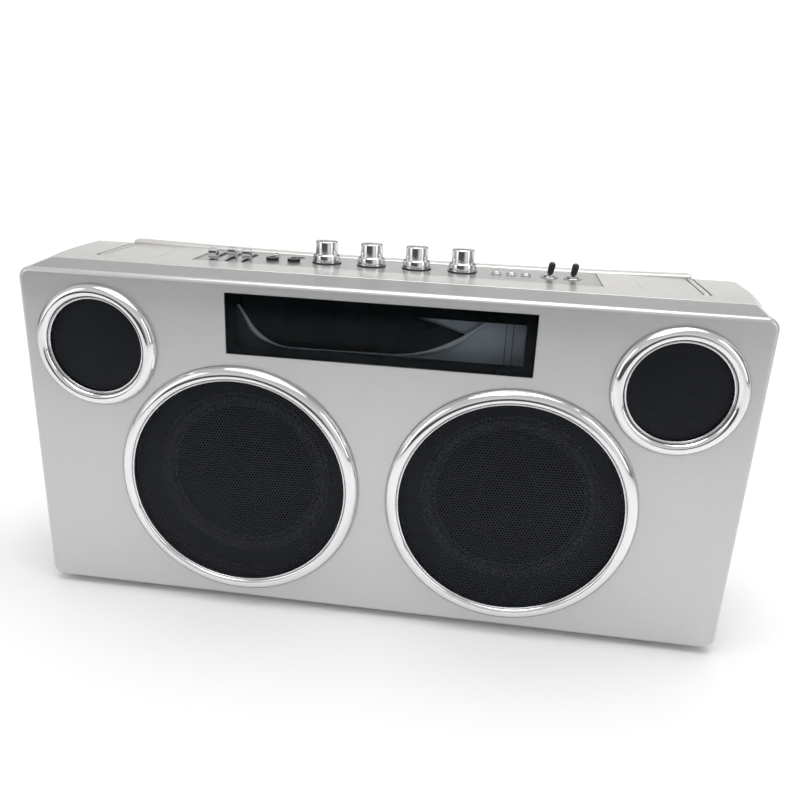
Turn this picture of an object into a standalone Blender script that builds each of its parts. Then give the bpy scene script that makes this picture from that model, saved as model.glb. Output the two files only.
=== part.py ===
"""Portable boombox: a wide silver cabinet with two woofers, two tweeters and a smoked display window
on the front, a row of controls on the top deck, and a folding handle along the rear edge.

Metres, +Z up, +X to the right seen from the front, front face towards -Y.
The origin is the centre of the bounding box, at the underside of the feet.
"""

import math

import bmesh
import bpy
from mathutils import Matrix, Vector

# ---------------------------------------------------------------- driving dimensions

WIDTH = 0.600  # across the front panel
FRONT_HEIGHT = 0.290  # front face, bottom edge to top edge
DECK_HEIGHT = 0.2925  # top deck above the cabinet's underside
DEPTH = 0.150
RING_PROUD = 0.008  # how far the woofer rings stand in front of the face
FOOT_HEIGHT = 0.006
GAP = 0.0003  # between pieces that touch
CORNER_RADIUS = 0.010
SEAM_DEPTH = 0.037  # where the front panel's rim meets the cabinet shell
SHELL_BULGE = 0.0043  # how much further out than the panel each side of the shell swells
SHELL_FULL_DEPTH = 0.110  # where the shell is widest
SHELL_CORNER = 0.005  # its corner radius there
REAR_ROUNDING = 0.014  # depth over which the rear edges round in
REAR_INSETS = (0.012, 0.008, 0.014)  # how far they round in at the sides, bottom and top

HALF_WIDTH = WIDTH / 2
FRONT_Y = (RING_PROUD - DEPTH) / 2
FRONT_WALL = 0.003
SHELL_WALL = 0.004

WOOFER_X = 0.116
WOOFER_HEIGHT = 0.1155
WOOFER_HOLE = 0.095
TWEETER_X = 0.2355
TWEETER_HEIGHT = 0.2283
TWEETER_HOLE = 0.0436

WINDOW_HALF_WIDTH = 0.124
WINDOW_LOW = 0.2302
WINDOW_HIGH = 0.2803
SCREEN_HALF_WIDTH = 0.1158
SCREEN_LOW = 0.2380
SCREEN_HIGH = 0.2712

PLATE_HALF_WIDTH = 0.178
PLATE_FRONT = 0.069  # depth behind the front face
PLATE_THICK = 0.0012
PLATE_SUNK = 0.001
DECK_BACK = 0.1345  # where the deck drops into the handle's rebate
REBATE_FLOOR = 0.268

BACK_HALF_WIDTH = 0.278
BACK_LOW = 0.014
BACK_HIGH = 0.254
BACK_THICK = 0.0024
BACK_LEDGE = 0.008  # the rim that the back panel seats on
DC_INLET = (0.220, 0.060)

CONTROL_ROW = 0.103  # depth of the line that knobs, buttons and toggles stand on
KNOB_X = (-0.0641, -0.0232, 0.0177, 0.0586)
MIC_JACK_ROW = 0.098
MIC_JACK_X = (-0.1132, -0.0934)
AUX_JACK = (-0.1170, 0.1240)
USB_PORT = (-0.0950, 0.1180)
BUTTON_X = (0.0889, 0.1018, 0.1147)
BUTTON_TRAVEL = 0.001
TOGGLE_X = (0.1351, 0.1553)
TOGGLE_LEAN = 9.0  # degrees to the right at rest
SLIDER_X = (-0.1636, -0.1496, -0.1346)
SLIDER_DEPTH = (0.0850, 0.0955, 0.0910)  # where each cap stands at rest
SLOT_FRONT = 0.0785
SLOT_BACK = 0.1195

COVER_INNER = 0.210
COVER_OUTER = 0.2572
COVER_FRONT = 0.066
COVER_HEIGHT = 0.0137
ARM_INNER = 0.2585
ARM_THICK = 0.0045
ARM_RADIUS = 0.006
SLOT_OUTER = 0.2642
PIVOT_DEPTH = 0.070
PIVOT_HEIGHT = DECK_HEIGHT - ARM_RADIUS
PIN_RADIUS = 0.003
ARM_CLEARANCE = 0.0001  # between a pin and the arm that turns on it
GRIP_HALF_LENGTH = 0.2632
GRIP_FRONT = 0.135
GRIP_LOW = 0.277
GRIP_TALL = 0.0155
GRIP_RISE = 0.0035  # how much higher the grip's ends are than its middle

FOOT_X = 0.240
FOOT_DEPTHS = (0.034, 0.122)
ROUND_STEPS = 36
DRIVER_STEPS = 20
SMALL_STEPS = 16
TINY_STEPS = 12

# ---------------------------------------------------------------- scene and helpers


def clear_scene():
    for old in list(bpy.data.objects):
        bpy.data.objects.remove(old, do_unlink=True)


def new_collection(name):
    made = bpy.data.collections.new(name)
    bpy.context.scene.collection.children.link(made)
    return made


clear_scene()
PARTS = new_collection("boombox")
CUTTERS = new_collection("cutters")


def back(depth):
    """The y of a point this far behind the front face."""
    return FRONT_Y + depth


def up(height):
    """The z of a point this far above the cabinet's underside."""
    return FOOT_HEIGHT + height


PLATE_TOP = up(DECK_HEIGHT - PLATE_SUNK)


def material(name, colour, roughness, metallic=0.0):
    made = bpy.data.materials.get(name)
    if made is None:
        made = bpy.data.materials.new(name)
        made.use_nodes = True
        shader = made.node_tree.nodes["Principled BSDF"]
        shader.inputs["Base Color"].default_value = (*colour, 1.0)
        shader.inputs["Roughness"].default_value = roughness
        shader.inputs["Metallic"].default_value = metallic
    return made


SILVER = material("silver_paint", (0.62, 0.62, 0.61), 0.30, 0.6)
PLATE_GREY = material("satin_aluminium", (0.50, 0.50, 0.49), 0.35, 0.9)
CHROME = material("chrome", (0.80, 0.80, 0.82), 0.06, 1.0)
MESH_BLACK = material("black_mesh", (0.012, 0.012, 0.013), 0.45)
SMOKED = material("smoked_glass", (0.03, 0.03, 0.035), 0.05)
BLACK_PLASTIC = material("black_plastic", (0.010, 0.010, 0.011), 0.40)
GREY_PLASTIC = material("grey_plastic", (0.30, 0.30, 0.31), 0.40)
CONE_PAPER = material("cone_paper", (0.020, 0.020, 0.022), 0.85)
RUBBER = material("rubber", (0.018, 0.018, 0.018), 0.75)
BASKET_STEEL = material("basket_steel", (0.040, 0.040, 0.042), 0.50, 0.5)
BOARD_GREEN = material("circuit_board", (0.02, 0.11, 0.05), 0.45)
STEEL = material("steel_pin", (0.55, 0.55, 0.56), 0.25, 1.0)


def add(obj, finish):
    """Puts an object in the part's collection with its material, and returns it."""
    PARTS.objects.link(obj)
    obj.data.materials.clear()
    obj.data.materials.append(finish)
    return obj


def mesh_object(name, bm, finish, place=(0, 0, 0)):
    bmesh.ops.recalc_face_normals(bm, faces=bm.faces)
    mesh = bpy.data.meshes.new(name)
    bm.to_mesh(mesh)
    bm.free()
    obj = bpy.data.objects.new(name, mesh)
    obj.location = place
    return add(obj, finish)


def box_mesh(low, high):
    """A bmesh box between two corners."""
    bm = bmesh.new()
    bmesh.ops.create_cube(bm, size=1.0)
    size = Vector(high) - Vector(low)
    middle = (Vector(high) + Vector(low)) / 2
    bmesh.ops.scale(bm, vec=size, verts=bm.verts)
    bmesh.ops.translate(bm, vec=middle, verts=bm.verts)
    return bm


def box(name, low, high, finish=BLACK_PLASTIC):
    return mesh_object(name, box_mesh(low, high), finish)


def bevel_along(bm, axis, radius, segments=4):
    """Rounds the edges that run mainly along one axis (0, 1 or 2)."""
    chosen = []
    for edge in bm.edges:
        run = edge.verts[0].co - edge.verts[1].co
        if abs(run[axis]) > 0.9 * run.length:
            chosen.append(edge)
    bmesh.ops.bevel(bm, geom=chosen, offset=radius, segments=segments, profile=0.5, affect="EDGES")


def bevel_rim(bm, axis, side, radius, segments=3):
    """Rounds the rim of the flat end at the lowest (-1) or highest (1) place along one axis."""
    end = side * max(side * v.co[axis] for v in bm.verts)
    rim = [e for e in bm.edges if all(abs(v.co[axis] - end) < 1e-6 for v in e.verts)]
    bmesh.ops.bevel(bm, geom=rim, offset=radius, segments=segments, profile=0.5, affect="EDGES")


def turned(name, profile, place, finish, steps=ROUND_STEPS, forward=False, closed=False):
    """A turned piece. profile is (radius, height) pairs, from the top down the outer side.

    The axis is +Z, or -Y (out of the front face) when forward is true.
    """
    mesh = bpy.data.meshes.new(name)
    edges = [(i, i + 1) for i in range(len(profile) - 1)]
    if closed:
        edges.append((len(profile) - 1, 0))
    mesh.from_pydata([(radius, 0.0, height) for radius, height in profile], edges, [])
    obj = bpy.data.objects.new(name, mesh)
    obj.location = place
    if forward:
        obj.rotation_euler = (math.pi / 2, 0, 0)
    screw = obj.modifiers.new("Turn", "SCREW")
    screw.steps = steps
    screw.render_steps = steps
    screw.use_merge_vertices = True
    screw.merge_threshold = 0.00001
    screw.use_smooth_shade = True
    return add(obj, finish)


def cylinder(name, radius, low, high, place, finish=BLACK_PLASTIC, axis="Z", steps=SMALL_STEPS):
    """A cylinder along one axis, from low to high measured from place."""
    bm = bmesh.new()
    bmesh.ops.create_cone(
        bm, cap_ends=True, segments=steps, radius1=radius, radius2=radius, depth=high - low
    )
    bmesh.ops.translate(bm, vec=(0, 0, (low + high) / 2), verts=bm.verts)
    turns = {"X": Matrix.Rotation(math.pi / 2, 4, "Y"), "Y": Matrix.Rotation(-math.pi / 2, 4, "X")}
    if axis in turns:
        bmesh.ops.transform(bm, matrix=turns[axis], verts=bm.verts)
    obj = mesh_object(name, bm, finish, place)
    smooth(obj)
    return obj


def smooth(obj, degrees=35):
    obj.data.shade_smooth()
    obj.data.set_sharp_from_angle(angle=math.radians(degrees))


def arc(centre, radius, start, end, steps):
    """Points on an arc, in degrees, both ends included."""
    points = []
    for i in range(steps + 1):
        turn = math.radians(start + (end - start) * i / steps)
        points.append((centre[0] + radius * math.cos(turn), centre[1] + radius * math.sin(turn)))
    return points


def circle(centre, radius, steps=TINY_STEPS):
    return arc(centre, radius, 0, 360, steps)[:-1]


def rectangle(low, high, radius=0.0, steps=3):
    """The outline of a rectangle, its corners rounded when radius is given."""
    if not radius:
        return [low, (high[0], low[1]), high, (low[0], high[1])]
    left, right = low[0] + radius, high[0] - radius
    bottom, top = low[1] + radius, high[1] - radius
    return (
        arc((right, top), radius, 0, 90, steps)
        + arc((left, top), radius, 90, 180, steps)
        + arc((left, bottom), radius, 180, 270, steps)
        + arc((right, bottom), radius, 270, 360, steps)
    )


def outline(name, loops, low, high, finish, plane="XY"):
    """A flat piece from closed outlines, holes included.

    It lies between low and high along the plane's normal: +Z for XY, +Y for XZ and +X for YZ.
    """
    data = bpy.data.curves.new(name, "CURVE")
    data.dimensions = "2D"
    data.fill_mode = "BOTH"
    data.extrude = (high - low) / 2
    for loop in loops:
        spline = data.splines.new("POLY")
        spline.points.add(len(loop) - 1)
        for point, (across, along) in zip(spline.points, loop):
            point.co = (across, along, 0, 1)
        spline.use_cyclic_u = True
    middle = (low + high) / 2
    obj = bpy.data.objects.new(name, data)
    if plane == "XY":
        obj.location = (0, 0, middle)
    elif plane == "XZ":
        obj.rotation_euler = (math.pi / 2, 0, 0)
        obj.location = (0, middle, 0)
    else:
        obj.rotation_euler = (math.pi / 2, 0, math.pi / 2)
        obj.location = (middle, 0, 0)
    return add(obj, finish)


def operand(obj):
    """Makes an object a hidden helper for Boolean modifiers."""
    for old in list(obj.users_collection):
        old.objects.unlink(obj)
    CUTTERS.objects.link(obj)
    obj.hide_render = True
    obj.display_type = "WIRE"
    return obj


def combine(obj, other, how):
    step = obj.modifiers.new(other.name, "BOOLEAN")
    step.operation = how
    step.solver = "EXACT"
    step.object = operand(other)


def cut(obj, *cutters):
    for cutter in cutters:
        combine(obj, cutter, "DIFFERENCE")
    return obj


def join(obj, *others):
    for other in others:
        combine(obj, other, "UNION")
    return obj


def sides():
    """Name and sign of the left and right copies of a piece."""
    return (("left", -1), ("right", 1))


def span(sign, inner, outer):
    """Low and high x of a range on one side of the middle."""
    return sorted((sign * inner, sign * outer))


# ---------------------------------------------------------------- cabinet


def front_block(name, inset, front_depth, back_depth, edge):
    """The front panel's body: the top slopes up a little from the face to the seam."""
    low = (-HALF_WIDTH + inset, back(front_depth), up(inset))
    high = (HALF_WIDTH - inset, back(back_depth), up(FRONT_HEIGHT - inset))
    bm = box_mesh(low, high)
    for vertex in bm.verts:
        if vertex.co.z > up(WOOFER_HEIGHT) and vertex.co.y > back(front_depth) + GAP:
            vertex.co.z = up(DECK_HEIGHT - inset)
    bevel_along(bm, 1, CORNER_RADIUS - inset)
    if edge:
        bevel_rim(bm, 1, -1, edge)
    return mesh_object(name, bm, SILVER)


def make_front_panel():
    panel = front_block("front_panel", 0.0, 0.0, SEAM_DEPTH, 0.004)
    cut(panel, front_block("front_hollow", FRONT_WALL, FRONT_WALL, SEAM_DEPTH + 0.01, 0.0))
    for side, sign in sides():
        woofer_place = (sign * WOOFER_X, back(0), up(WOOFER_HEIGHT))
        tweeter_place = (sign * TWEETER_X, back(0), up(TWEETER_HEIGHT))
        reach = 2 * FRONT_WALL
        holes = (("woofer", WOOFER_HOLE, woofer_place), ("tweeter", TWEETER_HOLE, tweeter_place))
        for speaker, radius, place in holes:
            name = f"{speaker}_hole_{side}"
            cut(panel, cylinder(name, radius, -reach, reach, place, axis="Y", steps=ROUND_STEPS))
    opening = WINDOW_HALF_WIDTH + GAP
    window_hole = box(
        "window_hole",
        (-opening, back(-0.01), up(WINDOW_LOW - GAP)),
        (opening, back(0.01), up(WINDOW_HIGH + GAP)),
    )
    cut(panel, window_hole)
    smooth(panel)


def cover_block(name, sign, grow, low, high, rear):
    """A hinge cover's outer shape, or its opening when it grows, rounded at the inner front corner."""
    x_low, x_high = span(sign, COVER_INNER - grow, COVER_OUTER + grow)
    bm = box_mesh((x_low, back(COVER_FRONT - grow), low), (x_high, back(rear), high))
    corner = [
        e
        for e in bm.edges
        if all(abs(v.co.y - back(COVER_FRONT - grow)) < 1e-6 for v in e.verts)
        and all(abs(abs(v.co.x) - COVER_INNER + grow) < 1e-6 for v in e.verts)
    ]
    bmesh.ops.bevel(bm, geom=corner, offset=0.005, segments=3, profile=0.5, affect="EDGES")
    return mesh_object(name, bm, SILVER)


def shell_sections():
    """The shell's outlines from front to back: it swells behind the seam and rounds in at the rear."""
    sections = []

    def add_section(depth, swell, sides_in, bottom_in, top_in):
        half = HALF_WIDTH + SHELL_BULGE * swell - sides_in
        radius = CORNER_RADIUS + (SHELL_CORNER - CORNER_RADIUS) * swell
        loop = rectangle((-half, up(bottom_in)), (half, up(DECK_HEIGHT - top_in)), radius, 4)
        sections.append((back(depth), loop))

    front = SEAM_DEPTH + GAP
    steps = 4
    for i in range(steps + 1):
        share = i / steps
        depth = front + (SHELL_FULL_DEPTH - front) * share
        add_section(depth, share * (2 - share), 0.0, 0.0, 0.0)
    for i in range(steps + 1):
        turn = math.pi / 2 * i / steps
        insets = [inset * (1 - math.cos(turn)) for inset in REAR_INSETS]
        add_section(DEPTH - REAR_ROUNDING * (1 - math.sin(turn)), 1.0, *insets)
    return sections


def lofted(name, sections, finish):
    """A solid through closed outlines in XZ, each at its own y, with as many points in every outline."""
    bm = bmesh.new()
    rings = []
    for y, loop in sections:
        rings.append([bm.verts.new((x, y, z)) for x, z in loop])
    for one, two in zip(rings, rings[1:]):
        for i in range(len(one)):
            n = (i + 1) % len(one)
            bm.faces.new((one[i], one[n], two[n], two[i]))
    bm.faces.new(rings[0])
    bm.faces.new(rings[-1])
    return mesh_object(name, bm, finish)


def make_cabinet_shell():
    clear_top = up(DECK_HEIGHT + 0.01)
    shell = lofted("cabinet_shell", shell_sections(), SILVER)
    inner = HALF_WIDTH - SHELL_WALL
    rebate_wall = DECK_BACK - SHELL_WALL
    cut(
        shell,
        box(
            "hollow_main",
            (-inner, back(SEAM_DEPTH - 0.01), up(SHELL_WALL)),
            (inner, back(rebate_wall), up(DECK_HEIGHT - SHELL_WALL)),
        ),
        box(
            "hollow_rear",
            (-inner + 0.002, back(SEAM_DEPTH - 0.012), up(SHELL_WALL + 0.002)),
            (inner - 0.002, back(DEPTH - 0.0055), up(REBATE_FLOOR - SHELL_WALL)),
        ),
        box(
            "handle_rebate",
            (-SLOT_OUTER, back(DECK_BACK), up(REBATE_FLOOR)),
            (SLOT_OUTER, back(DEPTH + 0.01), clear_top),
        ),
        box(
            "plate_recess",
            (-PLATE_HALF_WIDTH - GAP, back(PLATE_FRONT - GAP), PLATE_TOP - PLATE_THICK - GAP),
            (PLATE_HALF_WIDTH + GAP, back(DECK_BACK + 0.005), clear_top),
        ),
        box(
            "controls_opening",
            (-PLATE_HALF_WIDTH + 0.007, back(PLATE_FRONT + 0.005), up(DECK_HEIGHT - 0.02)),
            (PLATE_HALF_WIDTH - 0.007, back(DECK_BACK - 0.0055), clear_top),
        ),
        box(
            "back_opening",
            (-BACK_HALF_WIDTH + BACK_LEDGE, back(DEPTH - 0.01), up(BACK_LOW + BACK_LEDGE)),
            (BACK_HALF_WIDTH - BACK_LEDGE, back(DEPTH + 0.01), up(BACK_HIGH - BACK_LEDGE)),
        ),
        box(
            "back_recess",
            (-BACK_HALF_WIDTH, back(DEPTH - BACK_THICK - GAP), up(BACK_LOW)),
            (BACK_HALF_WIDTH, back(DEPTH + 0.01), up(BACK_HIGH)),
        ),
    )
    cover_floor = up(DECK_HEIGHT - COVER_HEIGHT - GAP)
    for side, sign in sides():
        low, high = span(sign, SLOT_OUTER, SLOT_OUTER + 0.006)
        rib = box(
            f"pivot_rib_{side}",
            (low, back(PIVOT_DEPTH - 0.010), up(DECK_HEIGHT - 0.016)),
            (high, back(DECK_BACK - 0.001), up(DECK_HEIGHT - 0.002)),
        )
        join(shell, rib)
        low, high = span(sign, COVER_OUTER - 0.001, SLOT_OUTER)
        cut(
            shell,
            box(
                f"arm_slot_{side}",
                (low, back(PIVOT_DEPTH - ARM_RADIUS - 0.002), up(DECK_HEIGHT - 0.013)),
                (high, back(DECK_BACK + 0.005), clear_top),
            ),
            cover_block(f"cover_opening_{side}", sign, GAP, cover_floor, clear_top, DECK_BACK + 0.006),
            cylinder(
                f"rib_bore_{side}",
                PIN_RADIUS + GAP,
                -0.004,
                0.004,
                (sign * SLOT_OUTER, back(PIVOT_DEPTH), up(PIVOT_HEIGHT)),
                axis="X",
            ),
        )
    smooth(shell)


def make_back_panel():
    half = BACK_HALF_WIDTH - GAP
    sheet = rectangle((-half, up(BACK_LOW + GAP)), (half, up(BACK_HIGH - GAP)))
    inlet_hole = circle((DC_INLET[0], up(DC_INLET[1])), 0.0056)
    inner_face = back(DEPTH - BACK_THICK)
    outline("back_panel", [sheet, inlet_hole], inner_face, back(DEPTH - GAP), BLACK_PLASTIC, "XZ")


def make_feet():
    number = 1
    for depth in FOOT_DEPTHS:
        for _, sign in sides():
            top = FOOT_HEIGHT - GAP
            profile = [(0, top), (0.011, top), (0.010, 0.001), (0.009, 0), (0, 0)]
            turned(f"foot_{number}", profile, (sign * FOOT_X, back(depth), 0), RUBBER, SMALL_STEPS)
            number += 1


# ---------------------------------------------------------------- speakers
# Profiles here are (radius, distance in front of the face).

WOOFER_RING = (
    (0.0968, RING_PROUD), (0.0998, 0.0071), (0.1024, 0.0050), (0.1040, 0.0026), (0.1045, 0.0012),
    (0.1045, GAP), (0.0946, GAP), (0.0946, -0.004), (0.0926, -0.004), (0.0930, 0.0056),
)
TWEETER_RING = (
    (0.0455, 0.0075), (0.0484, 0.0066), (0.0506, 0.0044), (0.0518, 0.0020), (0.0520, 0.0010),
    (0.0520, GAP), (0.0432, GAP), (0.0432, -0.004), (0.0414, -0.004), (0.0418, 0.0046),
)
BASKET = (
    (0, -0.052), (0.011, -0.052), (0.011, -0.060), (0.0155, -0.060), (0.0155, -0.054), (0.042, -0.051),
    (0.0765, -0.0185), (0.0765, -0.016), (0.094, -0.016), (0.094, -0.019), (0.080, -0.0205), (0.050, -0.052),
    (0.048, -0.078), (0, -0.078),
)
SURROUND = (
    (0.0762, -0.0160), (0.0762, -0.0172), (0.0735, -0.0172), (0.0693, -0.0132), (0.0652, -0.0176),
    (0.0629, -0.0176), (0.0629, -0.0166), (0.0645, -0.0166), (0.0672, -0.0128), (0.0714, -0.0128),
    (0.0740, -0.0160),
)
CONE = (
    (0, -0.0325), (0.008, -0.0338), (0.0170, -0.0405), (0.0623, -0.0188), (0.0625, -0.0199),
    (0.0135, -0.0437), (0.0135, -0.0565), (0.0123, -0.0565), (0.0123, -0.0405), (0, -0.0342),
)
TWEETER_DRIVER = (
    (0, -0.0080), (0.012, -0.0118), (0.030, -0.0050), (0.0415, -0.0046), (0.0415, -0.0076),
    (0.029, -0.0076), (0.029, -0.027), (0, -0.027),
)


def grille_profile(radius, rim, dome, rings, thick=0.0012):
    """A thin domed disc: the front surface from the middle out, then the back surface in again."""
    front = []
    rear = []
    for i in range(rings + 1):
        share = i / rings
        front.append((radius * share, rim + thick + dome * (1 - share * share)))
        rear.append((radius * share, rim + dome * (1 - share * share)))
    return front + rear[::-1]


def make_speakers():
    for side, sign in sides():
        place = (sign * WOOFER_X, back(0), up(WOOFER_HEIGHT))
        turned(f"woofer_ring_{side}", WOOFER_RING, place, CHROME, ROUND_STEPS, True, True)
        dome = grille_profile(0.0923, 0.0004, 0.006, 3)
        turned(f"woofer_grille_{side}", dome, place, MESH_BLACK, 32, True)
        turned(f"woofer_basket_{side}", BASKET, place, BASKET_STEEL, DRIVER_STEPS, True)
        turned(f"woofer_surround_{side}", SURROUND, place, RUBBER, DRIVER_STEPS, True, True)
        turned(f"woofer_cone_{side}", CONE, place, CONE_PAPER, DRIVER_STEPS, True)
        place = (sign * TWEETER_X, back(0), up(TWEETER_HEIGHT))
        turned(f"tweeter_ring_{side}", TWEETER_RING, place, CHROME, 32, True, True)
        dome = grille_profile(0.0411, -0.0006, 0.0018, 2)
        turned(f"tweeter_grille_{side}", dome, place, MESH_BLACK, 32, True)
        turned(f"tweeter_driver_{side}", TWEETER_DRIVER, place, BASKET_STEEL, DRIVER_STEPS, True)


# ---------------------------------------------------------------- display

CRESCENT_HALF = 0.100
CRESCENT_DEEP = 0.0310
CRESCENT_SHALLOW = 0.0210


def make_display():
    box(
        "display_window",
        (-WINDOW_HALF_WIDTH, back(-GAP), up(WINDOW_LOW)),
        (WINDOW_HALF_WIDTH, back(0.0020), up(WINDOW_HIGH)),
        SMOKED,
    )
    frame = rectangle((-WINDOW_HALF_WIDTH, up(WINDOW_LOW)), (WINDOW_HALF_WIDTH, up(WINDOW_HIGH)))
    screen = rectangle((-SCREEN_HALF_WIDTH, up(SCREEN_LOW)), (SCREEN_HALF_WIDTH, up(SCREEN_HIGH)))
    outline("display_housing", [frame, screen], back(0.0023), back(0.027), BLACK_PLASTIC, "XZ")
    outline("display_board", [frame], back(0.0273), back(0.029), BOARD_GREEN, "XZ")
    # A crescent between two parabolas through the same ends, one deeper than the other.
    loop = []
    for sag, order in ((CRESCENT_DEEP, range(13)), (CRESCENT_SHALLOW, range(11, 0, -1))):
        for i in order:
            share = -1 + i / 6
            drop = sag * (1 - share * share)
            loop.append((CRESCENT_HALF * share, up(SCREEN_HIGH - 0.001 - drop)))
    outline("display_reflector", [loop], back(0.020), back(0.023), GREY_PLASTIC, "XZ")


# ---------------------------------------------------------------- control plate and what it carries
# Profiles here are (radius, height above the plate).

POT = (
    (0, -0.0115), (0.0033, -0.0115), (0.0033, 0.003), (0.0041, 0.003), (0.0041, -0.0018), (0.008, -0.0018),
    (0.008, -0.0125), (0, -0.0125),
)
KNOB = (
    (0, 0.0205), (0.0086, 0.0199), (0.0099, 0.0187), (0.0102, 0.0084), (0.0116, 0.0076), (0.0122, 0.0014),
    (0.0132, 0.0011), (0.0132, 0.0005), (0.0070, 0.0005), (0.0060, 0.0042), (0.0030, 0.0042),
    (0.0030, -0.0110), (0, -0.0110),
)
MIC_JACK = (
    (0, -0.026), (0.00325, -0.026), (0.00325, 0.003), (0.00575, 0.003), (0.00575, GAP), (0.0044, GAP),
    (0.0044, -0.0015), (0.008, -0.0015), (0.008, -0.028), (0, -0.028),
)
AUX = (
    (0, -0.014), (0.0018, -0.014), (0.0018, 0.0018), (0.0036, 0.0018), (0.0038, GAP), (0.0029, GAP),
    (0.0029, -0.0015), (0.0045, -0.0015), (0.0045, -0.0155), (0, -0.0155),
)
BUTTON = (
    (0, 0.0026), (0.0024, 0.0025), (0.0031, 0.0019), (0.0032, -0.0015), (0.0044, -0.0016), (0.0044, -0.0026),
    (0.0015, -0.0026), (0.0015, -0.0050), (0, -0.0050),
)
TOGGLE_BUSH = (
    (0, -0.0007), (0.0021, -0.0007), (0.0022, 0.0010), (0.0026, 0.0020), (0.0034, 0.0020), (0.0034, 0.0017),
    (0.0050, 0.0017), (0.0050, 0.0009), (0.0074, 0.0007), (0.0074, GAP), (0.0034, GAP), (0.0034, -0.0060),
    (0, -0.0060),
)
TOGGLE_PIVOT = 0.0015  # above the plate
# Heights in the lever's profile are measured from its pivot.
TOGGLE_LEVER = (
    (0, 0.0122), (0.0019, 0.0117), (0.0029, 0.0101), (0.0030, 0.0080), (0.0025, 0.0022), (0.0021, 0.0014),
    (0.0013, 0.0014), (0.0013, 0.0006), (0.0017, -0.0002), (0.0012, -0.0014), (0, -0.0018),
)


def on_plate(x, depth):
    return (x, back(depth), PLATE_TOP)


def make_control_plate():
    loops = [rectangle((-PLATE_HALF_WIDTH, back(PLATE_FRONT)), (PLATE_HALF_WIDTH, back(DECK_BACK - GAP)))]
    for x in KNOB_X:
        loops.append(circle((x, back(CONTROL_ROW)), 0.0046))
    for x in MIC_JACK_X:
        loops.append(circle((x, back(MIC_JACK_ROW)), 0.0047))
    for x in BUTTON_X:
        loops.append(circle((x, back(CONTROL_ROW)), 0.0036))
    for x in TOGGLE_X:
        loops.append(circle((x, back(CONTROL_ROW)), 0.0037))
    for x in SLIDER_X:
        loops.append(rectangle((x - 0.00125, back(SLOT_FRONT)), (x + 0.00125, back(SLOT_BACK)), 0.0012, 2))
    loops.append(circle((AUX_JACK[0], back(AUX_JACK[1])), 0.0032))
    usb_low = (USB_PORT[0] - 0.0069, back(USB_PORT[1] - 0.0032))
    usb_high = (USB_PORT[0] + 0.0069, back(USB_PORT[1] + 0.0032))
    loops.append(rectangle(usb_low, usb_high))
    outline("control_plate", loops, PLATE_TOP - PLATE_THICK, PLATE_TOP, PLATE_GREY)


def make_knobs():
    board = box(
        "knob_board",
        (KNOB_X[0] - 0.014, back(CONTROL_ROW - 0.013), PLATE_TOP - 0.0136),
        (KNOB_X[-1] + 0.014, back(CONTROL_ROW + 0.013), PLATE_TOP - 0.0120),
        BOARD_GREEN,
    )
    for number, x in enumerate(KNOB_X, 1):
        join(board, turned(f"pot_{number}", POT, on_plate(x, CONTROL_ROW), BOARD_GREEN, TINY_STEPS))
        turned(f"knob_{number}", KNOB, on_plate(x, CONTROL_ROW), CHROME, DRIVER_STEPS)


def make_sliders():
    reach = 0.0075
    board = box(
        "slider_board",
        (SLIDER_X[0] - 0.0060, back(SLOT_FRONT - 0.003), PLATE_TOP - 0.0110),
        (SLIDER_X[-1] + 0.0060, back(SLOT_BACK + 0.003), PLATE_TOP - 0.0094),
        BOARD_GREEN,
    )
    for number, x in enumerate(SLIDER_X, 1):
        track = box(
            f"track_{number}",
            (x - 0.0045, back(SLOT_FRONT - 0.002), PLATE_TOP - 0.0100),
            (x + 0.0045, back(SLOT_BACK + 0.002), PLATE_TOP - PLATE_THICK - GAP),
        )
        groove = box(
            f"groove_{number}",
            (x - 0.0015, back(SLOT_FRONT), PLATE_TOP - 0.0080),
            (x + 0.0015, back(SLOT_BACK), PLATE_TOP),
        )
        join(board, track)
        cut(board, groove)
        depth = SLIDER_DEPTH[number - 1]
        bm = box_mesh((-0.0037, -reach / 2, 0.0006), (0.0037, reach / 2, 0.0099))
        bevel_along(bm, 0, 0.0025, 3)
        cap = mesh_object(f"slider_cap_{number}", bm, CHROME, on_plate(x, depth))
        stem = box(
            f"slider_stem_{number}",
            (x - 0.0006, back(depth - 0.0018), PLATE_TOP - 0.0060),
            (x + 0.0006, back(depth + 0.0018), PLATE_TOP + 0.0030),
        )
        join(cap, stem)
        smooth(cap)


def make_sockets():
    for number, x in enumerate(MIC_JACK_X, 1):
        turned(f"mic_jack_{number}", MIC_JACK, on_plate(x, MIC_JACK_ROW), BLACK_PLASTIC, SMALL_STEPS)
    turned("aux_jack", AUX, on_plate(*AUX_JACK), CHROME, TINY_STEPS)
    x, depth = USB_PORT
    port = box(
        "usb_port",
        (x - 0.0066, back(depth - 0.0029), PLATE_TOP - 0.0140),
        (x + 0.0066, back(depth + 0.0029), PLATE_TOP + 0.0004),
        STEEL,
    )
    cavity = box(
        "usb_cavity",
        (x - 0.0061, back(depth - 0.0024), PLATE_TOP - 0.0125),
        (x + 0.0061, back(depth + 0.0024), PLATE_TOP + 0.0020),
    )
    tongue = box(
        "usb_tongue",
        (x - 0.0052, back(depth + 0.0002), PLATE_TOP - 0.0130),
        (x + 0.0052, back(depth + 0.0020), PLATE_TOP - 0.0010),
    )
    cut(port, cavity)
    join(port, tongue)


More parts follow.
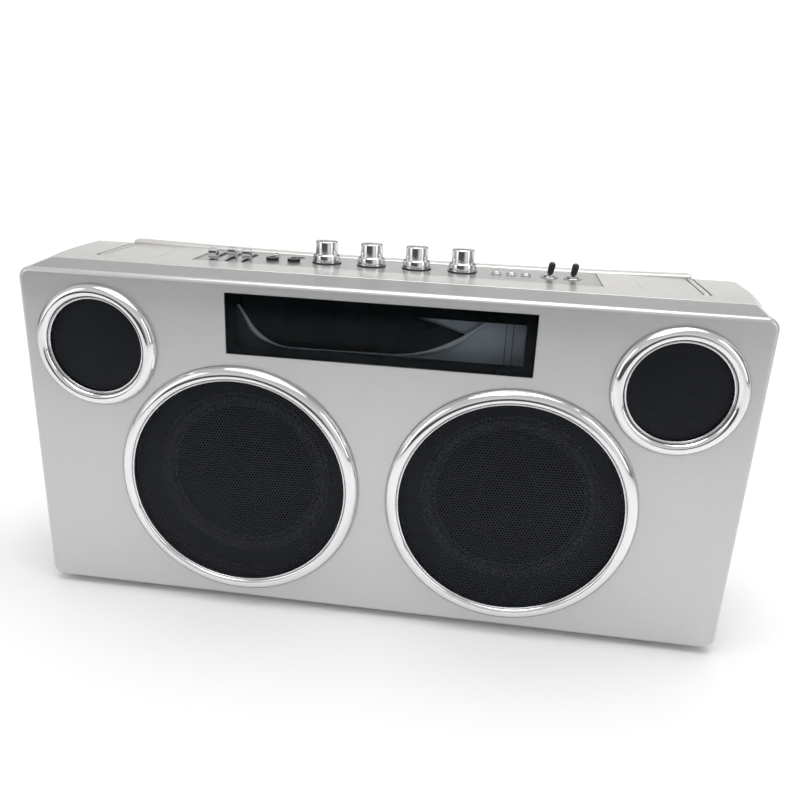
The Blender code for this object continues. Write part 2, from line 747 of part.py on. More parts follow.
def make_buttons():
    board_top = PLATE_TOP + BUTTON[-1][1] - BUTTON_TRAVEL - GAP
    board = box(
        "button_board",
        (BUTTON_X[0] - 0.009, back(CONTROL_ROW - 0.009), board_top - 0.0050),
        (BUTTON_X[-1] + 0.007, back(CONTROL_ROW + 0.009), board_top - 0.0034),
        BOARD_GREEN,
    )
    for number, x in enumerate(BUTTON_X, 1):
        place = on_plate(x, CONTROL_ROW)
        join(
            board,
            box(
                f"tact_{number}",
                (x - 0.003, place[1] - 0.003, board_top - 0.0040),
                (x + 0.003, place[1] + 0.003, board_top),
            ),
        )
        turned(f"button_{number}", BUTTON, place, CHROME, TINY_STEPS)


def make_toggles():
    for number, x in enumerate(TOGGLE_X, 1):
        place = on_plate(x, CONTROL_ROW)
        switch = turned(f"toggle_switch_{number}", TOGGLE_BUSH, place, CHROME, TINY_STEPS)
        body = box(
            f"toggle_body_{number}",
            (x - 0.0065, place[1] - 0.0040, PLATE_TOP - 0.0140),
            (x + 0.0065, place[1] + 0.0040, PLATE_TOP - PLATE_THICK - GAP),
        )
        well = cylinder(f"toggle_well_{number}", 0.0020, -0.0007, 0.0010, place, steps=TINY_STEPS)
        join(switch, body)
        cut(switch, well)
        pivot = (place[0], place[1], PLATE_TOP + TOGGLE_PIVOT)
        lever = turned(f"toggle_lever_{number}", TOGGLE_LEVER, pivot, BLACK_PLASTIC, TINY_STEPS)
        lever.rotation_euler = (0, math.radians(TOGGLE_LEAN), 0)


# ---------------------------------------------------------------- handle


def make_handle():
    bm = box_mesh(
        (-GRIP_HALF_LENGTH, back(GRIP_FRONT), up(GRIP_LOW)),
        (GRIP_HALF_LENGTH, back(DEPTH), up(GRIP_LOW + GRIP_TALL)),
    )
    bevel_along(bm, 0, 0.0035, 3)
    bevel_rim(bm, 0, -1, 0.0025, 2)
    bevel_rim(bm, 0, 1, 0.0025, 2)
    stations = 8
    for i in range(1, stations):
        x = GRIP_HALF_LENGTH * (2 * i / stations - 1)
        everything = bm.verts[:] + bm.edges[:] + bm.faces[:]
        bmesh.ops.bisect_plane(bm, geom=everything, plane_co=(x, 0, 0), plane_no=(1, 0, 0))
    for vertex in bm.verts:
        vertex.co.z += GRIP_RISE * (vertex.co.x / GRIP_HALF_LENGTH) ** 2
    grip = mesh_object("handle_grip", bm, SILVER)
    pivot = Vector((0, back(PIVOT_DEPTH), up(PIVOT_HEIGHT)))
    grip.data.transform(Matrix.Translation(-pivot))
    grip.location = pivot
    smooth(grip)
    for side, sign in sides():
        low, high = span(sign, ARM_INNER, ARM_INNER + ARM_THICK)
        rear = GRIP_FRONT - GAP - PIVOT_DEPTH
        shape = arc((0, 0), ARM_RADIUS, 90, 270, 8) + [(rear, -ARM_RADIUS), (rear, ARM_RADIUS)]
        bore = circle((0, 0), PIN_RADIUS + ARM_CLEARANCE, 24)
        arm = outline(f"handle_arm_{side}", [shape, bore], low, high, SILVER, "YZ")
        arm.location.y = pivot.y
        arm.location.z = pivot.z
        pin_low, pin_high = span(sign, COVER_OUTER - 0.0050, SLOT_OUTER + 0.0035)
        cylinder(f"pivot_pin_{side}", PIN_RADIUS, pin_low, pin_high, (0, pivot.y, pivot.z), STEEL, "X")
        cover = cover_block(
            f"hinge_cover_{side}", sign, 0.0, up(DECK_HEIGHT - COVER_HEIGHT), up(DECK_HEIGHT), DECK_BACK - GAP
        )
        low, high = span(sign, COVER_INNER + 0.0025, COVER_OUTER - 0.0075)
        cut(
            cover,
            box(
                f"cover_hollow_{side}",
                (low, back(COVER_FRONT + 0.0025), up(DECK_HEIGHT - COVER_HEIGHT - 0.002)),
                (high, back(DECK_BACK - 0.003), up(DECK_HEIGHT - 0.0022)),
            ),
            cylinder(
                f"cover_bore_{side}",
                PIN_RADIUS + GAP,
                -0.0055,
                0.0055,
                (sign * COVER_OUTER, pivot.y, pivot.z),
                axis="X",
            ),
        )
        smooth(cover)


# ---------------------------------------------------------------- inside and behind


HEAT_SINK_HALF = 0.050
FIN_GAPS = 5
FIN_GAP = 0.008
FIN_THICK = (2 * HEAT_SINK_HALF - FIN_GAPS * FIN_GAP) / (FIN_GAPS + 1)
# Radius and distance behind the back panel: a socket round a centre pin.
DC_SOCKET = (
    (0, -0.0010), (0.0010, -0.0010), (0.0010, -0.010), (0.0031, -0.010), (0.0031, GAP), (0.0052, GAP),
    (0.0052, -0.013), (0, -0.013),
)


def make_electronics():
    board_back = back(0.128)
    board = box(
        "amplifier_board",
        (-0.080, board_back - 0.0016, up(0.060)),
        (0.080, board_back, up(0.160)),
        BOARD_GREEN,
    )
    heat_sink = box(
        "heat_sink",
        (-HEAT_SINK_HALF, board_back - 0.026, up(0.110)),
        (HEAT_SINK_HALF, board_back - 0.001, up(0.145)),
    )
    join(board, heat_sink)
    for i in range(FIN_GAPS):
        x = -HEAT_SINK_HALF + FIN_THICK + i * (FIN_THICK + FIN_GAP)
        groove = box(
            f"fin_{i}",
            (x, board_back - 0.030, up(0.100)),
            (x + FIN_GAP, board_back - 0.008, up(0.150)),
        )
        cut(board, groove)
    for i, x in enumerate((-0.045, -0.015, 0.030)):
        capacitor = cylinder(
            f"capacitor_{i}", 0.008, -0.024, -0.001, (x, board_back, up(0.082)), axis="Y", steps=16
        )
        join(board, capacitor)
    bm = box_mesh((-0.225, back(0.086), up(0.008)), (-0.105, back(0.140), up(0.078)))
    bevel_along(bm, 0, 0.004, 2)
    mesh_object("battery_pack", bm, BLACK_PLASTIC)
    inlet_place = (DC_INLET[0], back(DEPTH - GAP), up(DC_INLET[1]))
    socket = turned("dc_inlet", DC_SOCKET, inlet_place, BLACK_PLASTIC, SMALL_STEPS)
    socket.rotation_euler = (-math.pi / 2, 0, 0)


make_front_panel()
make_cabinet_shell()
make_back_panel()
make_feet()
make_speakers()
make_display()
make_control_plate()
make_knobs()
make_sliders()
make_sockets()
make_buttons()
make_toggles()
make_handle()
make_electronics()
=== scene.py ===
"""The boombox as it looks: silver paint, chrome, perforated grilles, controls, back and studio.

Metres, in the row frame: +Z up, front face towards -Y. Depths are measured back from the front face
and heights up from the cabinet's underside, as in the part's source.
"""

import math

import bmesh
import bpy
from mathutils import Matrix, Vector


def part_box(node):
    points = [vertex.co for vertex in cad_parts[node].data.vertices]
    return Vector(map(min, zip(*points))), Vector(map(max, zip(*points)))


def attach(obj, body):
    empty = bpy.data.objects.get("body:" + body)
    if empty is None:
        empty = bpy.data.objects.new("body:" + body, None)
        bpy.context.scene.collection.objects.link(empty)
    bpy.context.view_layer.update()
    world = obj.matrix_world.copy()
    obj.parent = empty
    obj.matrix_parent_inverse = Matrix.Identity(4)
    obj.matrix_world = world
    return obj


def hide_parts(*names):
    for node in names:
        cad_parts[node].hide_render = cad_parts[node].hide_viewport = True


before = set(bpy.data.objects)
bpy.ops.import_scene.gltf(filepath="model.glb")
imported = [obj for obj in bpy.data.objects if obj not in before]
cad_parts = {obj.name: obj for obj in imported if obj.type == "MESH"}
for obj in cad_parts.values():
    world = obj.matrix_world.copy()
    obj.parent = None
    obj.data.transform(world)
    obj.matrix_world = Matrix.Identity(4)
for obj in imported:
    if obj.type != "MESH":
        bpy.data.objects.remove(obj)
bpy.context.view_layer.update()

# ---------------- places, from the frame

PANEL_LOW, PANEL_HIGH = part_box("front_panel")
SHELL_LOW, SHELL_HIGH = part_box("cabinet_shell")
FACE_Y = PANEL_LOW.y
SEAM_Y = PANEL_HIGH.y
REAR_Y = SHELL_HIGH.y
HALF_WIDTH = PANEL_HIGH.x
BASE_Z = PANEL_LOW.z
DECK_Z = SHELL_HIGH.z
PLATE_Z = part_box("control_plate")[1].z
SIDES = (("left", -1), ("right", 1))


def middle(node):
    low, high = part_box(node)
    return (low + high) / 2


def on_face(node):
    """The middle of a node, brought to the plane of the front face."""
    at = middle(node)
    at.y = FACE_Y
    return at


def on_plate(node):
    """The middle of a node, brought to the top of the control plate."""
    at = middle(node)
    at.z = PLATE_Z
    return at


def back(depth):
    return FACE_Y + depth


def up(height):
    return BASE_Z + height


# ---------------- sizes

# GAP is the clearance round a piece let into another, and PAST is how far a cutter goes past a surface.
GAP = 0.0003
PAST = 0.010
ROUND_STEPS = 64
KNOB_STEPS = 96
RING_STEPS = 128

FRONT_TOP_Z = up(0.290)
CORNER_RADIUS = 0.010
FACE_EDGE = 0.004
SEAM_CHAMFER = 0.0005
PANEL_WALL = 0.003
SHELL_WALL = 0.004
SHELL_CORNER = 0.005
SHELL_FULL_Y = back(0.110)
REAR_ROUNDING = 0.014
REAR_INSETS = (0.012, 0.008, 0.014)
REBATE_Z = up(0.268)
COVER_WALL = 0.0025
PIN_RADIUS = 0.003
TO_REAR = Matrix.Rotation(-math.pi / 2, 4, "X")

# Each ring is inner radius, lip radius, valley (radius, height), crest radius, outer radius, how far
# it stands proud, and its floor. Each mesh is radius, pitch, hole, rim height, dome and thickness.
SPEAKERS = {
    "woofer": {
        "hole": 0.095,
        "ring": (0.0927, 0.0933, (0.0940, 0.0056), 0.0968, 0.1045, 0.008, -0.004),
        "mesh": (0.0923, 0.0026, 0.0019, 0.0016, 0.006, 0.0008),
    },
    "tweeter": {
        "hole": 0.0436,
        "ring": (0.0397, 0.0404, (0.0411, 0.0030), 0.0455, 0.0520, 0.0075, 0.0016),
        "mesh": (0.0411, 0.0021, 0.0015, 0.0006, 0.0018, 0.0006),
    },
}

# ---------------- materials


def set_inputs(node, **values):
    """Sets a node's sockets. An underscore in a name stands for a space."""
    for name, value in values.items():
        node.inputs[name.replace("_", " ")].default_value = value


class Finish:
    """A Principled material whose colour, roughness and surface vary with noise in object space."""

    def __init__(self, name, colour, roughness, metallic=0.0, **sockets):
        self.material = bpy.data.materials.new(name)
        self.material.use_nodes = True
        self.nodes = self.material.node_tree.nodes
        self.links = self.material.node_tree.links
        self.shader = self.nodes["Principled BSDF"]
        set_inputs(self.shader, Base_Color=(*colour, 1), Roughness=roughness, Metallic=metallic, **sockets)
        self.colour = colour
        self.place = self.nodes.new("ShaderNodeTexCoord").outputs["Object"]
        self.height = None

    def texture(self, kind, place=None, **inputs):
        """A node that reads the object's own space, or a place made from it."""
        made = self.nodes.new(kind)
        set_inputs(made, **inputs)
        self.links.new(place or self.place, made.inputs["Vector"])
        return made

    def noise(self, scale, detail=2.0, place=None):
        return self.texture("ShaderNodeTexNoise", place, Scale=scale, Detail=detail).outputs["Fac"]

    def tint(self, value, dark, light, edges=(0.3, 0.7)):
        """Colour that runs from dark to light shares of the base colour, as value runs between two edges."""
        ramp = self.nodes.new("ShaderNodeValToRGB")
        for stop, position, share in zip(ramp.color_ramp.elements, edges, (dark, light)):
            stop.position = position
            stop.color = (*(min(1.0, c * share) for c in self.colour), 1)
        self.links.new(value, ramp.inputs["Fac"])
        self.links.new(ramp.outputs["Color"], self.shader.inputs["Base Color"])

    def rough(self, value, low, high):
        """Roughness that runs from low to high."""
        span = self.nodes.new("ShaderNodeMapRange")
        set_inputs(span, From_Min=0.3, From_Max=0.7, To_Min=low, To_Max=high)
        self.links.new(value, span.inputs["Value"])
        self.links.new(span.outputs["Result"], self.shader.inputs["Roughness"])

    def bump(self, value, distance, strength=1.0):
        """Adds relief this high, in metres, on top of any bump already there."""
        made = self.nodes.new("ShaderNodeBump")
        set_inputs(made, Distance=distance, Strength=strength)
        self.links.new(value, made.inputs["Height"])
        if self.height:
            self.links.new(self.height, made.inputs["Normal"])
        self.height = made.outputs["Normal"]
        self.links.new(self.height, self.shader.inputs["Normal"])

    def grained(self, grain, tint, rough, relief):
        """Colour, roughness and relief that all follow one grain."""
        self.tint(grain, *tint)
        self.rough(grain, *rough)
        self.bump(grain, *relief)
        return self.material

    def varied(self, tint, rough, relief):
        """Colour, roughness and relief from a noise each: its scale and detail, then the values for it."""
        self.tint(self.noise(*tint[:2]), *tint[2:])
        self.rough(self.noise(*rough[:2]), *rough[2:])
        self.bump(self.noise(*relief[:2]), *relief[2:])
        return self.material


def silver_paint(name, colour, roughness, coat):
    """Metallic lacquer: fine flakes under a clear coat with a faint orange-peel surface."""
    made = Finish(name, colour, roughness, 0.6, Coat_Weight=coat, Coat_Roughness=0.05)
    flakes = made.texture("ShaderNodeTexVoronoi", Scale=2400.0)
    made.tint(flakes.outputs["Color"], 0.93, 1.07, (0.0, 1.0))
    made.rough(made.noise(9.0, 3.0), roughness - 0.02, roughness + 0.03)
    made.bump(made.noise(420.0, 2.0), 0.00001, 0.5)
    made.bump(flakes.outputs["Distance"], 0.000004, 0.35)
    return made.material


def chrome(name):
    """Chrome plate on moulded plastic: bright, with slight waviness and handling haze."""
    made = Finish(name, (0.82, 0.825, 0.835), 0.07, 1.0, Specular_Tint=(0.45, 0.45, 0.46, 1.0))
    return made.varied((60.0, 3.0, 0.96, 1.0), (140.0, 4.0, 0.042, 0.126), (55.0, 1.0, 0.00005, 0.25))


def spun_chrome(name):
    """Machined and plated: circular turning marks round the piece's own Z axis."""
    made = Finish(name, (0.80, 0.80, 0.81), 0.16, 1.0)
    wave = made.texture("ShaderNodeTexWave", Scale=900.0, Distortion=1.2, Detail=2.0)
    wave.wave_type = "RINGS"
    wave.rings_direction = "Z"
    wave.wave_profile = "SIN"
    made.tint(wave.outputs["Fac"], 0.90, 1.0, (0.0, 1.0))
    made.rough(made.noise(300.0, 3.0), 0.12, 0.24)
    made.bump(wave.outputs["Fac"], 0.000012, 0.5)
    return made.material


def brushed_aluminium(name):
    """Aluminium brushed from side to side, under a thin lacquer."""
    made = Finish(name, (0.415, 0.415, 0.41), 0.34, 0.85, Coat_Weight=0.25, Coat_Roughness=0.12)
    stretched = made.texture("ShaderNodeMapping", Scale=(60.0, 4200.0, 4200.0)).outputs["Vector"]
    return made.grained(made.noise(1.0, 4.0, stretched), (0.93, 1.06), (0.30, 0.40), (0.000006, 0.5))


def black_mesh(name):
    """Powder-coated perforated steel."""
    made = Finish(name, (0.0085, 0.0105, 0.0140), 0.42, 0.0, Specular_IOR_Level=0.22)
    return made.varied((35.0, 3.0, 0.85, 1.2), (900.0, 2.0, 0.36, 0.52), (2600.0, 2.0, 0.00003, 0.5))


def plastic(name, colour, roughness, grain=0.00002, scale=1500.0):
    """Moulded plastic with a fine spark-eroded texture."""
    made = Finish(name, colour, roughness)
    haze = (240.0, 3.0, roughness * 0.88, roughness * 1.12)
    return made.varied((24.0, 3.0, 0.92, 1.08), haze, (scale, 2.0, grain, 0.6))


def paper_cone(name):
    """Pressed paper with visible fibres."""
    made = Finish(name, (0.022, 0.022, 0.024), 0.85)
    return made.grained(made.noise(380.0, 6.0), (0.7, 1.5), (0.75, 0.92), (0.0001, 0.6))


def rubber(name):
    """Matt rubber with a little bloom."""
    made = Finish(name, (0.018, 0.018, 0.019), 0.72, 0.0, Sheen_Weight=0.15)
    return made.varied((70.0, 4.0, 0.85, 1.25), (420.0, 3.0, 0.62, 0.82), (1900.0, 3.0, 0.00004, 0.6))


def steel(name, colour=(0.58, 0.58, 0.59), roughness=0.26):
    """Steel, bare or painted, with a fine even grain."""
    made = Finish(name, colour, roughness, 1.0)
    grain = made.noise(650.0, 4.0)
    return made.grained(grain, (0.88, 1.05), (roughness * 0.75, roughness * 1.3), (0.00001, 0.5))


def circuit_board(name):
    """Solder mask over copper tracks."""
    made = Finish(name, (0.018, 0.10, 0.045), 0.38, 0.0, Coat_Weight=0.4, Coat_Roughness=0.2)
    shades = {"Color1": (0, 0, 0, 1), "Color2": (0.25, 0.25, 0.25, 1), "Mortar": (1, 1, 1, 1)}
    tracks = made.texture("ShaderNodeTexBrick", Scale=90.0, Mortar_Size=0.012, **shades)
    made.tint(tracks.outputs["Color"], 0.8, 1.9, (0.0, 1.0))
    made.bump(tracks.outputs["Color"], 0.00004, 0.6)
    return made.material


def smoked_glass(name):
    """Tinted acrylic: see-through, glossy, with faint wiping haze."""
    made = Finish(name, (0.58, 0.62, 0.66), 0.03, 0.0, Transmission_Weight=1.0, IOR=1.12)
    made.rough(made.noise(26.0, 4.0), 0.015, 0.05)
    made.bump(made.noise(14.0, 1.0), 0.00002, 0.2)
    return made.material


def gloss_black(name):
    """Polished black plastic."""
    made = Finish(name, (0.0025, 0.0040, 0.0045), 0.12, 0.0, Specular_IOR_Level=0.15)
    return made.varied((40.0, 3.0, 0.8, 1.3), (120.0, 3.0, 0.09, 0.20), (60.0, 2.0, 0.00002, 0.3))


SILVER = silver_paint("silver_paint_face", (0.55, 0.555, 0.555), 0.30, 0.8)
DECK_SILVER = silver_paint("silver_paint_deck", (0.56, 0.55, 0.525), 0.34, 0.25)
PLATE = brushed_aluminium("satin_aluminium_plate")
CHROME = chrome("chrome_plate")
KNOB_CHROME = chrome("chrome_knob")
SPUN = spun_chrome("spun_knob_top")
MESH = black_mesh("black_mesh_steel")
GLASS = smoked_glass("smoked_acrylic")
GLOSS = gloss_black("gloss_black_plastic")
BLACK = plastic("black_plastic_textured", (0.012, 0.012, 0.013), 0.48, 0.00006, 900.0)
SATIN_BLACK = plastic("black_plastic_satin", (0.010, 0.010, 0.011), 0.34)
GREY = plastic("grey_plastic_satin", (0.56, 0.565, 0.57), 0.30)
SCREEN_GREY = plastic("grey_plastic_screen", (0.43, 0.45, 0.46), 0.42)
# Painted shade: a darker copy of the screen grey for the left of the display's back, standing in for shade
# inside the window.
SHADED_BACKING_GREY = plastic("grey_plastic_painted_shade", (0.10, 0.107, 0.113), 0.42)
# Painted highlight: the surround's colour is raised to a mid grey so its crest reads light through the
# grille; its gloss is real.
SURROUND_PAINTED_HIGHLIGHT = plastic("rubber_surround_painted_highlight", (0.14, 0.145, 0.16), 0.36, 0.00004, 700.0)
PAPER = paper_cone("cone_paper_felt")
RUBBER = rubber("rubber_matt")
STEEL = steel("bright_steel_pin")
DARK_STEEL = steel("basket_steel_dark", (0.045, 0.045, 0.048), 0.45)
BOARD = circuit_board("circuit_board_green")

# ---------------- making pieces


def linked(name, data):
    """A new object of this data, in the scene."""
    obj = bpy.data.objects.new(name, data)
    bpy.context.scene.collection.objects.link(obj)
    return obj


def discard(*objects):
    for obj in objects:
        bpy.data.objects.remove(obj, do_unlink=True)


def new_object(name, mesh, finish):
    obj = linked(name, mesh)
    mesh.materials.clear()
    mesh.materials.append(finish)
    return obj


def from_bmesh(name, bm, finish, at=(0, 0, 0)):
    bmesh.ops.recalc_face_normals(bm, faces=bm.faces)
    mesh = bpy.data.meshes.new(name)
    bm.to_mesh(mesh)
    bm.free()
    obj = new_object(name, mesh, finish)
    obj.location = at
    return obj


def settle(obj):
    """Makes an object's modifiers part of its mesh."""
    evaluated = obj.evaluated_get(bpy.context.evaluated_depsgraph_get())
    mesh = bpy.data.meshes.new_from_object(evaluated)
    obj.modifiers.clear()
    obj.data = mesh


def cut(obj, *cutters):
    """Takes the cutters away from obj, and deletes them."""
    for cutter in cutters:
        step = obj.modifiers.new(cutter.name, "BOOLEAN")
        step.operation = "DIFFERENCE"
        step.solver = "EXACT"
        step.object = cutter
    settle(obj)
    discard(*cutters)


def smooth(obj, degrees=35, weighted=True):
    """Smooth shading up to an angle, with the large faces kept flat."""
    obj.data.shade_smooth()
    obj.data.set_sharp_from_angle(angle=math.radians(degrees))
    if weighted:
        step = obj.modifiers.new("Weighted", "WEIGHTED_NORMAL")
        step.keep_sharp = True
        settle(obj)
    return obj


def box_mesh(low, high):
    bm = bmesh.new()
    bmesh.ops.create_cube(bm, size=1.0)
    low, high = Vector(low), Vector(high)
    bmesh.ops.scale(bm, vec=high - low, verts=bm.verts)
    bmesh.ops.translate(bm, vec=(high + low) / 2, verts=bm.verts)
    return bm


def bevel(bm, edges, radius, segments):
    bmesh.ops.bevel(bm, geom=edges, offset=radius, segments=segments, profile=0.5, affect="EDGES")


def along(bm, axis):
    """The edges that run mainly along one axis."""
    found = []
    for edge in bm.edges:
        run = edge.verts[0].co - edge.verts[1].co
        if abs(run[axis]) > 0.9 * run.length:
            found.append(edge)
    return found


def rim(bm, axis, side):
    """The rim of the flat end at the lowest (-1) or highest (1) place along one axis."""
    end = side * max(side * v.co[axis] for v in bm.verts)
    return [e for e in bm.edges if all(abs(v.co[axis] - end) < 1e-6 for v in e.verts)]


def block(name, low, high, finish, radius=0.0):
    """A box, with all its edges rounded where it has a radius."""
    bm = box_mesh(low, high)
    if radius:
        bevel(bm, bm.edges[:], radius, 3)
    obj = from_bmesh(name, bm, finish)
    return smooth(obj) if radius else obj


def turned(name, profile, at, finish, steps=ROUND_STEPS, forward=False):
    """A turned piece from (radius, height) pairs, down its outer side. Its axis is +Z, or -Y when forward."""
    bm = bmesh.new()
    verts = [bm.verts.new((radius, 0, height)) for radius, height in profile]
    edges = [bm.edges.new(pair) for pair in zip(verts, verts[1:])]
    closed = profile[0] == profile[-1]
    bmesh.ops.spin(
        bm, geom=verts + edges, cent=(0, 0, 0), axis=(0, 0, 1), angle=math.tau, steps=steps, use_merge=False
    )
    bmesh.ops.remove_doubles(bm, verts=bm.verts, dist=0.000002)
    if not closed:
        bmesh.ops.holes_fill(bm, edges=[e for e in bm.edges if e.is_boundary])
    if forward:
        bmesh.ops.rotate(bm, cent=(0, 0, 0), matrix=Matrix.Rotation(math.pi / 2, 3, "X"), verts=bm.verts)
    obj = from_bmesh(name, bm, finish, at)
    return smooth(obj, weighted=False)


def cylinder(name, radius, low, high, at, finish, axis, steps=ROUND_STEPS):
    """A plain round shape along X or Y, for a cutter or a pin."""
    profile = [(0, high), (radius, high), (radius, low), (0, low)]
    obj = turned(name, profile, at, finish, steps)
    turns = {"X": Matrix.Rotation(math.pi / 2, 4, "Y"), "Y": TO_REAR}
    obj.data.transform(turns[axis])
    return obj


def arc(centre, radii, start, end, steps):
    """Points on an elliptical arc, in degrees, both ends included."""
    points = []
    for i in range(steps + 1):
        turn = math.radians(start + (end - start) * i / steps)
        points.append((centre[0] + radii[0] * math.cos(turn), centre[1] + radii[1] * math.sin(turn)))
    return points


def circle(centre, radius, steps=ROUND_STEPS):
    return arc(centre, (radius, radius), 0, 360, steps)[:-1]


def rectangle(low, high, radius=0.0, steps=6):
    if not radius:
        return [low, (high[0], low[1]), high, (low[0], high[1])]
    left, right = low[0] + radius, high[0] - radius
    bottom, top = low[1] + radius, high[1] - radius
    corners = (((right, top), 0), ((left, top), 90), ((left, bottom), 180), ((right, bottom), 270))
    points = []
    for centre, start in corners:
        points += arc(centre, (radius, radius), start, start + 90, steps)
    return points


def outline(name, loops, low, high, finish, plane="XY", edge=0.0):
    """A flat piece from closed outlines, holes included, between low and high along the plane's normal."""
    data = bpy.data.curves.new(name, "CURVE")
    data.dimensions = "2D"
    data.fill_mode = "BOTH"
    data.extrude = (high - low) / 2 - edge
    data.bevel_depth = edge
    data.bevel_resolution = 2
    data.offset = -edge
    for loop in loops:
        spline = data.splines.new("POLY")
        spline.points.add(len(loop) - 1)
        for point, (across, upward) in zip(spline.points, loop):
            point.co = (across, upward, 0, 1)
        spline.use_cyclic_u = True
    curve = linked(name + "_outline", data)
    evaluated = curve.evaluated_get(bpy.context.evaluated_depsgraph_get())
    mesh = bpy.data.meshes.new_from_object(evaluated)
    discard(curve)
    half = (low + high) / 2
    turns = {
        "XY": Matrix.Translation((0, 0, half)),
        "XZ": Matrix.Translation((0, half, 0)) @ Matrix.Rotation(math.pi / 2, 4, "X"),
        "YZ": Matrix.Translation((half, 0, 0))
        @ Matrix.Rotation(math.pi / 2, 4, "Z")
        @ Matrix.Rotation(math.pi / 2, 4, "X"),
    }
    mesh.transform(turns[plane])
    bm = bmesh.new()
    bm.from_mesh(mesh)
    bmesh.ops.remove_doubles(bm, verts=bm.verts, dist=0.000001)
    bpy.data.meshes.remove(mesh)
    obj = from_bmesh(name, bm, finish)
    return smooth(obj)


def join(name, *objects):
    """One object out of several, their materials kept."""
    bm = bmesh.new()
    finishes = []
    for obj in objects:
        part = obj.data.copy()
        part.transform(obj.matrix_basis)
        for material in part.materials:
            if material not in finishes:
                finishes.append(material)
        order = [finishes.index(m) for m in part.materials]
        for polygon in part.polygons:
            polygon.material_index = order[polygon.material_index]
        bm.from_mesh(part)
        discard(obj)
    mesh = bpy.data.meshes.new(name)
    bm.to_mesh(mesh)
    bm.free()
    made = linked(name, mesh)
    for material in finishes:
        mesh.materials.append(material)
    return made


def place(obj, body, slot, *nodes):
    """Hands a finished piece to the frame: its body and the CAD nodes it stands for. The slot is not used."""
    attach(obj, body)
    if nodes:
        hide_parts(*nodes)


def fixed(obj, slot, *nodes):
    """Places a piece that is fixed to the cabinet."""
    place(obj, "cabinet", slot, *nodes)


# ---------------- cabinet


def front_block(name, inset, front_depth, back_depth, edge):
    """The front panel's body: the top slopes up a little from the face to the seam."""
    low = (-HALF_WIDTH + inset, back(front_depth), up(inset))
    high = (HALF_WIDTH - inset, back(back_depth), FRONT_TOP_Z - inset)
    bm = box_mesh(low, high)
    for vertex in bm.verts:
        if vertex.co.z > up(0.1) and vertex.co.y > back(front_depth) + GAP:
            vertex.co.z = DECK_Z - inset
    bevel(bm, along(bm, 1), CORNER_RADIUS - inset, 12)
    if edge:
        bevel(bm, rim(bm, 1, -1), edge, 8)
        bevel(bm, rim(bm, 1, 1), SEAM_CHAMFER, 2)
    return from_bmesh(name, bm, SILVER)


def make_front_panel():
    panel = front_block("front_panel_finish", 0.0, 0.0, SEAM_Y - FACE_Y, FACE_EDGE)
    cutters = [front_block("hollow", PANEL_WALL, PANEL_WALL, 0.06, 0.0)]
    for side, _ in SIDES:
        for kind, sizes in SPEAKERS.items():
            at = on_face(f"{kind}_ring_{side}")
            hole = cylinder(f"hole_{kind}", sizes["hole"], -0.006, 0.006, at, SILVER, "Y", RING_STEPS)
            cutters.append(hole)
    low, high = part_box("display_window")
    bm = box_mesh((low.x - GAP, back(-PAST), low.z - GAP), (high.x + GAP, back(PAST), high.z + GAP))
    cutters.append(from_bmesh("window_hole", bm, SILVER))
    cut(panel, *cutters)
    smooth(panel, 30)
    fixed(panel, "silver_paint", "front_panel")


def cover_shape(name, side, grow, low_z, high_z, rear, finish, edge=0.0):
    """A hinge cover's outer shape, or its opening when it grows."""
    low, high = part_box(f"hinge_cover_{side}")
    bm = box_mesh((low.x - grow, low.y - grow, low_z), (high.x + grow, rear, high_z))
    inner = min(abs(low.x), abs(high.x)) - grow
    corner = [
        e
        for e in along(bm, 2)
        if all(abs(v.co.y - low.y + grow) < 1e-6 and abs(abs(v.co.x) - inner) < 1e-6 for v in e.verts)
    ]
    bevel(bm, corner, 0.005, 8)
    if edge:
        bevel(bm, rim(bm, 2, 1), edge, 4)
    return from_bmesh(name, bm, finish)


def shell_sections():
    """The shell's outlines from front to back: it swells behind the seam and rounds in at the rear."""
    sections = []
    bulge = SHELL_HIGH.x - HALF_WIDTH

    def add_section(y, swell, sides_in, bottom_in, top_in):
        half = HALF_WIDTH + bulge * swell - sides_in
        radius = CORNER_RADIUS + (SHELL_CORNER - CORNER_RADIUS) * swell
        sections.append((y, rectangle((-half, BASE_Z + bottom_in), (half, DECK_Z - top_in), radius, 8)))

    add_section(SHELL_LOW.y, 0.0, SEAM_CHAMFER, SEAM_CHAMFER, SEAM_CHAMFER)
    front = SHELL_LOW.y + SEAM_CHAMFER
    steps = 14
    for i in range(steps + 1):
        share = i / steps
        add_section(front + (SHELL_FULL_Y - front) * share, share * (2 - share), 0.0, 0.0, 0.0)
    steps = 12
    for i in range(steps + 1):
        turn = math.pi / 2 * i / steps
        insets = [inset * (1 - math.cos(turn)) for inset in REAR_INSETS]
        add_section(REAR_Y - REAR_ROUNDING * (1 - math.sin(turn)), 1.0, *insets)
    return sections


def lofted(name, sections, finish):
    """A solid through closed outlines in XZ, each at its own y, with as many points in every outline."""
    bm = bmesh.new()
    rings = [[bm.verts.new((x, y, z)) for x, z in loop] for y, loop in sections]
    for one, two in zip(rings, rings[1:]):
        for i in range(len(one)):
            n = (i + 1) % len(one)
            bm.faces.new((one[i], one[n], two[n], two[i]))
    bm.faces.new(rings[0])
    bm.faces.new(rings[-1])
    return from_bmesh(name, bm, finish)


